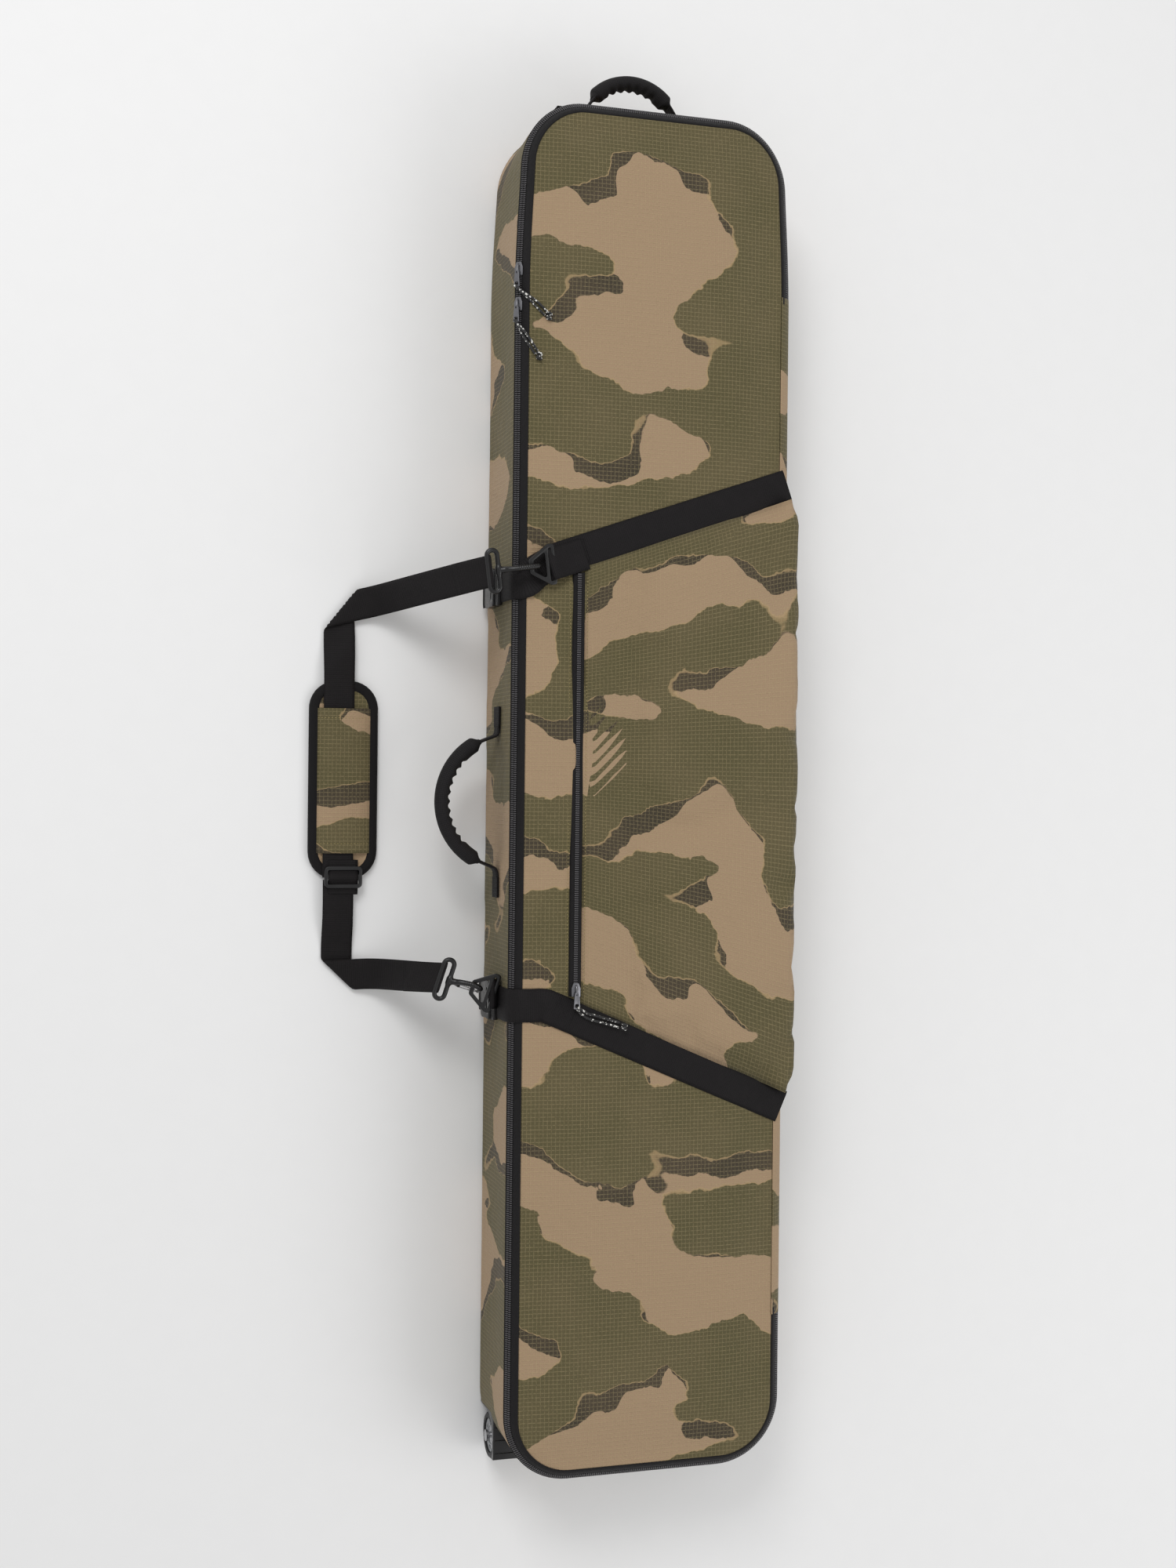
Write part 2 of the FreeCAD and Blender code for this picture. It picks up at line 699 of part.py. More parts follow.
def make_pocket_slider():
    x, y, z = size("pocket_left") - 6, -238, PANEL_TOP + 8.5
    plate = box("pocket_slider_plate", (x - 5, y - 8, z), (x + 5, y + 8, z + 3))
    bridge = box("pocket_slider_bridge", (x - 1.5, y - 6, z + 3), (x + 1.5, y + 3, z + 4.5))
    node("pocket_slider", fused("pocket_slider", plate, bridge))
    tab = box("pocket_tab_plate", (x - 4, y - 20, z + 4.8), (x + 4, y - 2, z + 6.6))
    hole = box("pocket_tab_hole", (x - 2.2, y - 18, z + 4), (x + 2.2, y - 13.6, z + 8))
    node("pocket_pull_tab", cut("pocket_pull_tab", tab, hole))
    first, second, knotted = POCKET_CORD
    cord("pocket_pull_cord", (first, second))
    knot("pocket_pull_knot", knotted)


# ---------------------------------------------------------------- shoulder strap

RING_LINE = {"upper": Vector(-133, 270, 173.5), "lower": Vector(-186.5, -246, 118)}
LOOP_LINE = {"upper": Vector(-211, 258, 171), "lower": Vector(-252, -226, 113)}
HOOK_TURN = {"upper": 0, "lower": 30}  # the lower hook leans over on its ring


def strap_place(end):
    """A placement at a ring's bar: local X runs to the loop, local Y along the bars, local Z up."""
    start, finish = RING_LINE[end], LOOP_LINE[end]
    along = (LOOP_LINE["lower"] - LOOP_LINE["upper"]).normalize()
    return Placement(start, Rotation(finish - start, along, Vector(0, 0, 1), "XYZ"))


def rounded_bar(points, radius):
    """A round bar along straight runs with round elbows, as one solid."""
    parts = []
    for a, b in zip(points, points[1:]):
        parts.append(Part.makeCylinder(radius, (b - a).Length, a, b - a))
    parts += [Part.makeSphere(radius, point) for point in points[1:-1]]
    return parts[0].fuse(parts[1:]).removeSplitter()


def make_strap_end(end):
    """The ring, snap hook, gate and webbing loop at one end of the shoulder strap."""
    place = strap_place(end)
    leaning = place * Placement(Vector(), Rotation(Vector(1, 0, 0), HOOK_TURN[end]))
    reach = (LOOP_LINE[end] - RING_LINE[end]).Length

    wide, narrow, deep = 22.0, 7.0, 26.0
    ring_points = [
        Vector(0, -wide, 0),
        Vector(deep, -narrow, 0),
        Vector(deep, narrow, 0),
        Vector(0, wide, 0),
    ]
    ring = rounded_bar(ring_points + ring_points[:2], 2)
    node(f"{end}_strap_ring", from_shape(f"{end}_strap_ring", ring, place))

    # the hook stands upright on the ring's narrow bar, its mouth facing down
    tip, top, root, mouth = deep - 7, 6.5, reach - 22, -9
    hook_points = [
        Vector(tip, 0, mouth),
        Vector(tip, 0, 2),
        Vector(tip + 4, 0, top),
        Vector(root, 0, top - 1),
        Vector(root, 0, mouth),
    ]
    hook = rounded_bar(hook_points, 2.6)
    stem = Part.makeCylinder(3.4, 8, Vector(root - 1, 0, 0), Vector(1, 0, 0))
    node(f"{end}_snap_hook", from_shape(f"{end}_snap_hook", hook.fuse(stem).removeSplitter(), leaning))

    gate = Part.makeCylinder(1, root - tip - 6, Vector(tip + 3.1, 0, mouth + 1), Vector(1, 0, 0))
    node(f"{end}_hook_gate", from_shape(f"{end}_hook_gate", gate, leaning))

    half, near, far = 24.0, reach - 11.5, reach
    loop_points = [Vector(near, -half, 0), Vector(far, -half, 0), Vector(far, half, 0), Vector(near, half, 0)]
    loop = rounded_bar(loop_points + loop_points[:2], 2)
    node(f"{end}_webbing_loop", from_shape(f"{end}_webbing_loop", loop, place))


PAD_X, PAD_Y = -353, 10.5
FLOOR_WEBBING = (9.8, 12.3)
UPPER_STRAP_PLAN = [
    (-216, 277),
    (-219, 239),
    (-322, 212),
    (-334, 196),
    (-334, -108),
    (-372, -108),
    (-372, 222),
    (-344, 246),
]
LOWER_STRAP_PLAN = [
    (-372, -109),
    (-334, -109),
    (-334, -192),
    (-325, -210),
    (-292, -211),
    (-256, -207),
    (-259.5, -245),
    (-291, -249),
    (-318, -240),
    (-359, -196),
    (-372, -168),
]


def shoulder_webbing(name, plan, high, slope_foot):
    """Flat webbing that comes down from a loop to the ground and turns along the bag there."""
    low, thick = FLOOR_WEBBING[0], FLOOR_WEBBING[1] - FLOOR_WEBBING[0]
    profile = [
        high,
        slope_foot,
        (-380, low),
        (-380, low + thick),
        (slope_foot[0] - 1, low + thick),
        (high[0] - 1.5, high[1] + thick),
    ]
    band = prism(name + "_band", "XZ_Plane", profile, "sizes.body_length", None, True)
    shape = prism(name + "_plan", "XY_Plane", plan, "sizes.body_width", "0")
    node(name, common(name, band, shape))


def make_shoulder_strap():
    for end in ("upper", "lower"):
        make_strap_end(end)
    shoulder_webbing("upper_shoulder_webbing", UPPER_STRAP_PLAN, (-216.5, 163.5), (-318, FLOOR_WEBBING[0]))
    shoulder_webbing("lower_shoulder_webbing", LOWER_STRAP_PLAN, (-256.5, 109.5), (-318, FLOOR_WEBBING[0]))

    pad_body = new_body("shoulder_pad")
    outline = sketch_on(pad_body, "XY_Plane", "pad_outline")
    half_width, half_length = size("pad_width") / 2, size("pad_length") / 2
    rounded_rectangle(outline, half_width, half_length, 22, (PAD_X, PAD_Y))
    pad(pad_body, outline, "sizes.pad_foam")
    node("shoulder_pad", pad_body)

    low, high = PAD_Y - half_length + 32, PAD_Y + half_length - 34
    sleeve = box("sleeve_block", (PAD_X - 33, low, 9), (PAD_X + 33, high, 15.5))
    slot = box("sleeve_slot", (PAD_X - 20, low - 1, 8), (PAD_X + 20, high + 1, 13))
    node("pad_sleeve", cut("pad_sleeve", sleeve, slot))

    frame = box("adjuster_block", (PAD_X - 23.5, -123, 12.7), (PAD_X + 23.5, -96, 16.7))
    gaps = [
        box(f"adjuster_gap_{y}".replace("-", "m"), (PAD_X - 19, y, 12), (PAD_X + 19, y + 6.5, 18))
        for y in (-118, -107)
    ]
    node("strap_adjuster", cut("strap_adjuster", frame, *gaps))


# ---------------------------------------------------------------- inside


def make_inside():
    """Two tie-down straps that hold the board on the padded floor, with their buckles."""
    floor = size("wall") + size("liner_thickness")
    straps, buckles = [], []
    for y in (380, -360):
        left = box(f"tie_left_{len(straps)}", (-150, y - 12, floor), (-20, y + 12, floor + 2))
        right = box(f"tie_right_{len(straps)}", (28, y - 12, floor), (150, y + 12, floor + 2))
        straps += [left, right]
        buckles.append(box(f"tie_buckle_{len(straps)}", (-20, y - 15, floor), (28, y + 15, floor + 8)))
    group("tie_down_straps", *straps)
    group("tie_down_buckles", *buckles)


# ---------------------------------------------------------------- build, check and write

make_shell()
make_main_zip()
make_front_panel()
make_lash_strap("upper_lash_strap", UPPER_BEND, UPPER_SLOPE, UPPER_SIDE_Y)
make_lash_strap("lower_lash_strap", LOWER_BEND, LOWER_SLOPE, LOWER_SIDE_Y)
make_pocket()
make_lash_buckles()
make_wheels()
make_handles()
make_main_sliders()
make_pocket_slider()
make_shoulder_strap()
make_inside()
doc.recompute()

for made in doc.Objects:
    if {"Invalid", "Error"} & set(made.State):
        raise ValueError(f"{made.Name} failed: {made.State}")
os.makedirs("parts", exist_ok=True)
for name, made in sorted(nodes.items()):
    if made.Shape.isNull() or not made.Shape.isValid() or not made.Shape.Solids:
        raise ValueError(f"{name} has no valid solid")
    made.Shape.exportStep(f"parts/{name}.step")
    bounds = made.Shape.BoundBox
    print(
        f"{name:26s} {len(made.Shape.Solids)} solid(s) {made.Shape.Volume / 1000:9.1f} cm3 "
        f"x {bounds.XMin:.1f}..{bounds.XMax:.1f} y {bounds.YMin:.1f}..{bounds.YMax:.1f} "
        f"z {bounds.ZMin:.1f}..{bounds.ZMax:.1f}"
    )
print(len(nodes), "nodes")
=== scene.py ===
"""The looks of a wheeled snowboard bag: cloth, webbing, zips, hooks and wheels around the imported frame.

Shapes are worked out in millimetres along the frame's own axes and become metres as each mesh is made.
"""

import json
import math
from contextlib import contextmanager

import bmesh
import bpy
import numpy as np
from mathutils import Matrix, Vector, noise


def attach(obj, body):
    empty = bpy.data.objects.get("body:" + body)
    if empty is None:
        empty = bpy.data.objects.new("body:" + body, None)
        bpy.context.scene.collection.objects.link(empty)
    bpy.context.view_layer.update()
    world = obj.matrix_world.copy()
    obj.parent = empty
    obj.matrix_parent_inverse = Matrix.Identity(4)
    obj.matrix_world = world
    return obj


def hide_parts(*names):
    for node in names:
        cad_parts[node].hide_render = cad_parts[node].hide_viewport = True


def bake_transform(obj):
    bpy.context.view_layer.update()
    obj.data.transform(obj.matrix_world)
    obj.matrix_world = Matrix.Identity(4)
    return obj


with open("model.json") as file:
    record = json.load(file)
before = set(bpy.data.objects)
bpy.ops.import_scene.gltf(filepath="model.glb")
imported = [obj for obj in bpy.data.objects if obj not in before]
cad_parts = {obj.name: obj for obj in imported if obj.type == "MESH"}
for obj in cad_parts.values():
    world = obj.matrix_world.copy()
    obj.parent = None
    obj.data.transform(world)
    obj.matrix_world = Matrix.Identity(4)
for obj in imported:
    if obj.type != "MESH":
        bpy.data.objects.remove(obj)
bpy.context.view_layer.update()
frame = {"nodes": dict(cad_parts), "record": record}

MM = 0.001
UV_NAME = "metres"


# ------------------------------------------------------------------ mesh helpers


def add_object(name, data):
    """A new object in the scene."""
    made = bpy.data.objects.new(name, data)
    bpy.context.scene.collection.objects.link(made)
    return made


def new_piece(name, vertices, faces, materials, uvs=None, face_materials=None, smooth=True):
    """A mesh object from points in millimetres. uvs holds one pair for each face corner, in millimetres."""
    mesh = bpy.data.meshes.new(name)
    if isinstance(faces, np.ndarray):
        faces = faces.tolist()
    mesh.from_pydata((np.asarray(vertices, float) * MM).tolist(), [], faces)
    for material in materials:
        mesh.materials.append(material)
    if face_materials is not None:
        mesh.polygons.foreach_set("material_index", np.asarray(face_materials, np.int32))
    mesh.polygons.foreach_set("use_smooth", np.full(len(mesh.polygons), smooth))
    if uvs is not None:
        mesh.uv_layers.new(name=UV_NAME).data.foreach_set("uv", (np.asarray(uvs, float) * MM).ravel())
    mesh.update()
    return add_object(name, mesh)


@contextmanager
def editing(piece):
    """A piece's mesh opened for editing, and written back at the end."""
    work = bmesh.new()
    work.from_mesh(piece.data)
    yield work
    work.to_mesh(piece.data)
    work.free()


def outward(piece):
    """Turns every face of a closed mesh outwards."""
    with editing(piece) as work:
        bmesh.ops.remove_doubles(work, verts=work.verts, dist=1e-6)
        bmesh.ops.recalc_face_normals(work, faces=work.faces)
    return piece


def join_middle(piece):
    """Joins the two halves of a sheet along the bag's middle line, without a wall between its two faces."""
    with editing(piece) as work:
        bmesh.ops.remove_doubles(work, verts=work.verts, dist=0.05 * MM)
        walls = [f for f in work.faces if all(abs(v.co.x) < 0.3 * MM for v in f.verts)]
        bmesh.ops.delete(work, geom=walls, context="FACES")


def close_ends(piece):
    """Fills the open ends of a tube-like mesh."""
    with editing(piece) as work:
        bmesh.ops.holes_fill(work, edges=[e for e in work.edges if e.is_boundary], sides=0)
        bmesh.ops.recalc_face_normals(work, faces=work.faces)


def quads(rows, columns, wrap_rows=False, wrap_columns=False):
    """The corners (row, column) of every quad in a grid; a wrapped grid also closes on itself."""
    r, c = np.meshgrid(
        np.arange(rows if wrap_rows else rows - 1),
        np.arange(columns if wrap_columns else columns - 1),
        indexing="ij",
    )
    r, c = r.ravel(), c.ravel()
    return np.stack([r, r, r + 1, r + 1], 1), np.stack([c, c + 1, c + 1, c], 1)


def sheet_piece(name, grid, materials, uv, row_materials=None, wrap_rows=False, wrap_columns=False):
    """A piece from a grid of points; uv(rows, columns) gives texture places, which may run past the wrap."""
    rows, columns = grid.shape[:2]
    r, c = quads(rows, columns, wrap_rows, wrap_columns)
    faces = (r % rows) * columns + (c % columns)
    picked = None if row_materials is None else np.asarray(row_materials)[r[:, 0]]
    return new_piece(name, grid.reshape(-1, 3), faces, materials, uv(r, c).reshape(-1, 2), picked)


def strip_uv(across, along):
    """Texture places of a grid from the distances across and along it."""
    return lambda r, c: np.stack([across[c], along[r]], -1)


def plan_uv(grid):
    """Texture places of a grid of points as they are seen from above."""
    return lambda r, c: grid[r % grid.shape[0], c % grid.shape[1]][..., :2]


def grid_normals(grid):
    """Unit normals of a grid of points."""
    normals = np.cross(np.gradient(grid, axis=1), np.gradient(grid, axis=0))
    return normals / np.maximum(np.linalg.norm(normals, axis=2, keepdims=True), 1e-9)


def arc_lengths(points):
    """Distance along a row of points, starting at 0."""
    steps = np.linalg.norm(np.diff(points, axis=0), axis=1)
    return np.concatenate([[0], np.cumsum(steps)])


def resampled(values, along, places):
    """The rows of values, which stand at the distances along, read at other places."""
    return np.stack([np.interp(places, along, values[:, k]) for k in range(values.shape[1])], 1)


def smooth_path(points, spacing, rounds=3, closed=False):
    """Corner-cutting turns a coarse route into a smooth one with even spacing."""
    path = np.asarray(points, float)
    for _ in range(rounds):
        after = np.roll(path, -1, 0) if closed else path[1:]
        before = path if closed else path[:-1]
        cut = np.stack([before * 0.75 + after * 0.25, before * 0.25 + after * 0.75], 1)
        cut = cut.reshape(-1, path.shape[1])
        path = cut if closed else np.vstack([path[:1], cut, path[-1:]])
    if closed:
        path = np.vstack([path, path[:1]])
    along = arc_lengths(path[:, :3])
    count = max(3, int(round(along[-1] / spacing)) + 1)
    places = np.linspace(0, along[-1], count)
    even = resampled(path, along, places)
    return even[:-1] if closed else even


EDGE_ROUNDING = 0.8  # how far from its edges a band starts to thin


def band(name, middle, thickness, materials):
    """A flat band, such as webbing, from the grid (along, across, 3) of its middle surface."""
    normals = grid_normals(middle)
    rows, columns = middle.shape[:2]
    across = arc_lengths(middle[rows // 2])
    along = arc_lengths(middle[:, columns // 2])
    width = across[-1]
    thin = np.clip(np.minimum(across, width - across) / EDGE_ROUNDING, 0, 1) ** 0.5 * 0.7 + 0.3
    lift = normals * (thickness / 2 * thin)[None, :, None]
    loop = np.concatenate([middle + lift, (middle - lift)[:, ::-1]], 1)
    places = np.concatenate([across, across[::-1], across[:1]])
    made = sheet_piece(name, loop, materials, strip_uv(places, along), wrap_columns=True)
    close_ends(made)
    return made


BAND_COLUMNS = 9  # points across a band of webbing


def webbing_path(points, normals, width):
    """The middle surface of webbing along a route, with its face turned to the given normals."""
    path = smooth_path(np.hstack([np.asarray(points, float), np.asarray(normals, float)]), 4.0, 2)
    centres, faces = path[:, :3], path[:, 3:]
    tangents = np.gradient(centres, axis=0)
    sideways = np.cross(faces, tangents)
    sideways /= np.linalg.norm(sideways, axis=1, keepdims=True)
    offsets = np.linspace(-width / 2, width / 2, BAND_COLUMNS)
    return centres[:, None] + sideways[:, None] * offsets[None, :, None]


def rod(name, points, radius, materials, sides, up, closed=False):
    """A round rod along a route; radius may change along it, and up is never along the route."""
    path = np.asarray(points, float)
    count = len(path)
    radii = np.broadcast_to(np.asarray(radius, float), (count,))
    if closed:
        tangents = np.roll(path, -1, 0) - np.roll(path, 1, 0)
    else:
        tangents = np.gradient(path, axis=0)
    tangents /= np.linalg.norm(tangents, axis=1, keepdims=True)
    first = np.cross(tangents, np.asarray(up, float))
    first /= np.maximum(np.linalg.norm(first, axis=1, keepdims=True), 1e-6)
    second = np.cross(first, tangents)
    angles = np.arange(sides) * math.tau / sides
    ring = first[:, None] * np.cos(angles)[None, :, None] + second[:, None] * np.sin(angles)[None, :, None]
    grid = path[:, None] + ring * radii[:, None, None]
    along = np.append(arc_lengths(path), 0)
    around = np.arange(sides + 1) * math.tau / sides * radii.mean()
    if closed:
        along[-1] = along[-2] + np.linalg.norm(path[0] - path[-1])
    uv = strip_uv(around, along)
    made = sheet_piece(name, grid, materials, uv, wrap_rows=closed, wrap_columns=True)
    if closed:
        return outward(made)
    close_ends(made)
    return made


def rounded_loop(half_x, half_y, radius, centre=(0, 0), steps=5):
    """A rounded rectangle's outline as points."""
    points = []
    for k, (sx, sy) in enumerate(((1, 1), (-1, 1), (-1, -1), (1, -1))):
        for angle in np.radians(np.linspace(k * 90, k * 90 + 90, steps)):
            x = centre[0] + sx * (half_x - radius) + radius * math.cos(angle)
            y = centre[1] + sy * (half_y - radius) + radius * math.sin(angle)
            points.append((x, y))
    return points


def plate(name, loops, thickness, material, place, rounding):
    """A moulded plate from an outline and its holes, in the plane of place, with rounded edges."""
    work = bmesh.new()
    edges = []
    for loop in loops:
        corners = [work.verts.new((x * MM, y * MM, 0)) for x, y in loop]
        edges += [work.edges.new((corners[k - 1], corners[k])) for k in range(len(corners))]
    bmesh.ops.triangle_fill(work, edges=edges, use_beauty=True, use_dissolve=True)
    made = bmesh.ops.extrude_face_region(work, geom=list(work.faces))
    top = [v for v in made["geom"] if isinstance(v, bmesh.types.BMVert)]
    bmesh.ops.translate(work, verts=top, vec=(0, 0, thickness * MM))
    bmesh.ops.recalc_face_normals(work, faces=work.faces)
    rim = [e for e in work.edges if len(e.link_faces) == 2 and e.calc_face_angle() > 1.0]
    bmesh.ops.bevel(
        work, geom=rim, offset=rounding * MM, segments=2, profile=0.6, affect="EDGES", clamp_overlap=True
    )
    mesh = bpy.data.meshes.new(name)
    work.to_mesh(mesh)
    work.free()
    mesh.polygons.foreach_set("use_smooth", np.full(len(mesh.polygons), True))
    mesh.materials.append(material)
    mesh.transform(place)
    made = add_object(name, mesh)
    sharpen(made)
    return made


def sharpen(piece, angle=38):
    """Marks edges sharper than the angle, so that flat faces of a moulded piece shade flat."""
    with editing(piece) as work:
        for edge in work.edges:
            edge.smooth = len(edge.link_faces) == 2 and edge.calc_face_angle() < math.radians(angle)


def joined(name, parts):
    """Several pieces as one object."""
    if len(parts) > 1:
        with bpy.context.temp_override(active_object=parts[0], selected_editable_objects=parts):
            bpy.ops.object.join()
    parts[0].name = name
    parts[0].data.name = name
    return parts[0]


def place_at(origin, x_axis, y_axis):
    """A placement in metres from an origin in millimetres and two directions."""
    x = Vector(x_axis).normalized()
    z = x.cross(Vector(y_axis)).normalized()
    y = z.cross(x)
    matrix = Matrix((x, y, z)).transposed().to_4x4()
    matrix.translation = Vector(origin) * MM
    return matrix


def side_place(side, x, y=0.0, z=0.0):
    """A placement square to X, outwards from x on one side: local X and Y run along the bag's Y and Z."""
    turned = Matrix(((0, 0, side, 0), (1, 0, 0, 0), (0, 1, 0, 0), (0, 0, 0, 1)))
    return Matrix.Translation((side * x * MM, y * MM, z * MM)) @ turned


def give(piece, body, slot, *nodes):
    """Rides a piece on its body and hides the CAD nodes that it stands for; slot is not used."""
    if nodes:
        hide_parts(*nodes)
    if body:
        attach(piece, body)
    return piece


def smooth_step(value):
    """0 below 0, 1 above 1, and a smooth rise between them."""
    t = np.clip(value, 0, 1)
    return t * t * (3 - 2 * t)


# ------------------------------------------------------------------ materials


def linear(red, green, blue):
    """A linear colour from display values of 0 to 255."""
    channels = [v / 255 for v in (red, green, blue)]
    return [v / 12.92 if v <= 0.04045 else ((v + 0.055) / 1.055) ** 2.4 for v in channels] + [1.0]


class Finish:
    """A material and short calls for the nodes that the finishes share."""

    def __init__(self, name, roughness, metallic=0.0, sheen=0.0, specular=0.5):
        self.material = bpy.data.materials.new(name)
        self.material.use_nodes = True
        self.tree = self.material.node_tree
        self.shader = self.tree.nodes["Principled BSDF"]
        self.shader.inputs["Roughness"].default_value = roughness
        self.shader.inputs["Metallic"].default_value = metallic
        self.shader.inputs["Sheen Weight"].default_value = sheen
        self.shader.inputs["Specular IOR Level"].default_value = specular

    def add(self, kind, inputs, output=0, **settings):
        made = self.tree.nodes.new("ShaderNode" + kind)
        for key, value in settings.items():
            setattr(made, key, value)
        for key, value in inputs.items():
            if isinstance(value, bpy.types.NodeSocket):
                self.tree.links.new(value, made.inputs[key])
            else:
                made.inputs[key].default_value = value
        return made.outputs[output]

    def maths(self, operation, a, b=0.0):
        return self.add("Math", {0: a, 1: b}, operation=operation)

    def places(self, shift=(0, 0, 0)):
        source = self.add("UVMap", {}, uv_map=UV_NAME)
        return self.add("Mapping", {"Vector": source, "Location": shift})

    def split(self, places):
        """The two coordinates of a texture place: across and along."""
        made = self.tree.nodes.new("ShaderNodeSeparateXYZ")
        self.tree.links.new(places, made.inputs[0])
        return made.outputs[0], made.outputs[1]

    def solid_places(self):
        return self.add("TexCoord", {}, output=3)

    def noise(self, vector, scale, detail=2.0, roughness=0.5, output=0):
        inputs = {"Vector": vector, "Scale": scale, "Detail": detail, "Roughness": roughness}
        return self.add("TexNoise", inputs, output=output)

    def ramp(self, value, low, high, start=0.0, end=1.0):
        inputs = {"Value": value, "From Min": low, "From Max": high, "To Min": start, "To Max": end}
        return self.add("MapRange", inputs, interpolation_type="SMOOTHSTEP", clamp=True)

    def mix(self, factor, a, b):
        return self.add("Mix", {0: factor, 6: a, 7: b}, output=2, data_type="RGBA")

    def colour(self, socket):
        self.tree.links.new(socket, self.shader.inputs["Base Color"])

    def rough(self, socket):
        self.tree.links.new(socket, self.shader.inputs["Roughness"])

    def bump(self, height, distance, strength):
        """Relief: the surface follows a height of 0 to 1, distance metres high."""
        made = self.add("Bump", {"Height": height, "Distance": distance, "Strength": strength})
        self.tree.links.new(made, self.shader.inputs["Normal"])

    def stripes(self, coordinate, pitch, width):
        """1 on thin lines at every pitch along a coordinate in metres, 0 between them."""
        distance = self.maths("PINGPONG", coordinate, pitch / 2)
        return self.ramp(distance, width * 0.7, width * 0.3)


TAN, OLIVE = linear(157, 132, 104), linear(81, 74, 43)
DARK_OLIVE, OUTLINE = linear(54, 46, 30), linear(168, 142, 102)
RIPSTOP_PITCH = 0.005
OLIVE_FROM, PRINT_EDGE = 0.474, 0.0015  # the print is olive above this noise value, with an edge this soft


def camouflage_finish(name, shift):
    """Ripstop cloth printed with ragged olive blobs on tan, dark strokes along some borders."""
    made = Finish(name, 0.82, sheen=0.05)
    places = made.places(shift=shift)

    def blobs(vector):
        broad = made.noise(vector, 16, 1, output=1)
        fine = made.noise(vector, 62, 2, 0.6, output=1)
        for wobble, amount in ((broad, 0.036), (fine, 0.013)):
            centred = made.add("VectorMath", {0: wobble, 1: (0.5, 0.5, 0.5)}, operation="SUBTRACT")
            scaled = made.add("VectorMath", {0: centred, "Scale": amount}, operation="SCALE")
            vector = made.add("VectorMath", {0: vector, 1: scaled}, operation="ADD")
        stretched = made.add("Mapping", {"Vector": vector, "Scale": (5.2, 9.4, 1)})
        return made.noise(stretched, 1.0, 0.9, 0.45)

    field = blobs(places)
    olive = made.ramp(field, OLIVE_FROM - PRINT_EDGE, OLIVE_FROM + PRINT_EDGE)

    stroke = made.noise(places, 9.5, 1.5)
    reach = made.ramp(stroke, 0.40, 0.54, 0.0, 0.023)
    offset = made.add("CombineXYZ", {"X": made.maths("MULTIPLY", reach, -0.5), "Y": reach})
    shifted = blobs(made.add("VectorMath", {0: places, 1: offset}, operation="ADD"))
    near_olive = made.ramp(shifted, OLIVE_FROM - PRINT_EDGE, OLIVE_FROM + PRINT_EDGE)
    dark = made.maths("MULTIPLY", near_olive, made.maths("SUBTRACT", 1.0, olive))

    border = made.ramp(made.maths("ABSOLUTE", made.maths("SUBTRACT", field, OLIVE_FROM)), 0.0045, 0.002)
    rim = made.maths("MULTIPLY", border, made.ramp(reach, 0.002, 0.006))

    cloth = made.mix(olive, TAN, OLIVE)
    cloth = made.mix(dark, cloth, DARK_OLIVE)
    cloth = made.mix(made.maths("MULTIPLY", rim, 0.6), cloth, OUTLINE)
    faded = made.noise(places, 11, 3)
    cloth = made.mix(made.ramp(faded, 0.3, 0.7, 0.0, 0.16), cloth, made.mix(0.5, cloth, TAN))

    across, along = made.split(places)
    grid = made.maths(
        "MAXIMUM",
        made.stripes(along, RIPSTOP_PITCH, 0.0011),
        made.maths("MULTIPLY", made.stripes(across, RIPSTOP_PITCH, 0.0010), 0.8),
    )
    broken = made.maths("MULTIPLY", grid, made.ramp(made.noise(places, 420, 1), 0.35, 0.6, 0.35, 1.0))
    thread = made.mix(0.42, cloth, linear(186, 168, 124))
    made.colour(made.mix(made.maths("MULTIPLY", broken, 0.55), cloth, thread))

    weave = made.noise(places, 1400, 1)
    pucker = made.noise(places, 70, 3, 0.55)
    height = made.maths("ADD", made.maths("MULTIPLY", grid, 0.35), made.maths("MULTIPLY", weave, 0.22))
    made.bump(made.maths("ADD", height, made.maths("MULTIPLY", pucker, 2.2)), 0.0009, 0.9)
    return made.material


def webbing_finish(name, tone):
    """Black nylon webbing with ribs across it and smooth edges; the grooves between the ribs carry painted
    shade.
    """
    made = Finish(name, 0.66, specular=0.22)
    places = made.places()
    across, along = made.split(places)
    ribs = made.stripes(along, 0.0024, 0.0020)
    cords = made.stripes(across, 0.0016, 0.0012)
    worn = made.noise(places, 60, 3)
    fibre = made.noise(places, 1500, 2)
    # painted shade: the grooves between the ribs are painted darker than the rib tops, following the ribs'
    # bump
    base = made.mix(ribs, linear(*[v * 0.72 for v in tone]), linear(*tone))
    rubbed = linear(*[v * 1.35 for v in tone])
    made.colour(made.mix(made.ramp(worn, 0.4, 0.75, 0, 0.35), base, rubbed))
    height = made.maths("ADD", made.maths("MULTIPLY", ribs, 0.7), made.maths("MULTIPLY", cords, 0.25))
    made.bump(made.maths("ADD", height, made.maths("MULTIPLY", fibre, 0.3)), 0.0006, 0.9)
    return made.material


def plastic_finish(name, colour, roughness, grain=1.0):
    """Moulded plastic or rubber: a fine spark-eroded grain and slightly polished high spots."""
    made = Finish(name, roughness)
    places = made.solid_places()
    worn = made.noise(places, 45, 4)
    rubbed = linear(*[v * 1.4 for v in colour])
    made.colour(made.mix(made.ramp(worn, 0.45, 0.75, 0, 0.3), linear(*colour), rubbed))
    made.rough(made.ramp(worn, 0.3, 0.7, roughness + 0.08, roughness - 0.08))
    made.bump(made.noise(places, 1700, 2), 0.00012 * grain, 0.7)
    return made.material


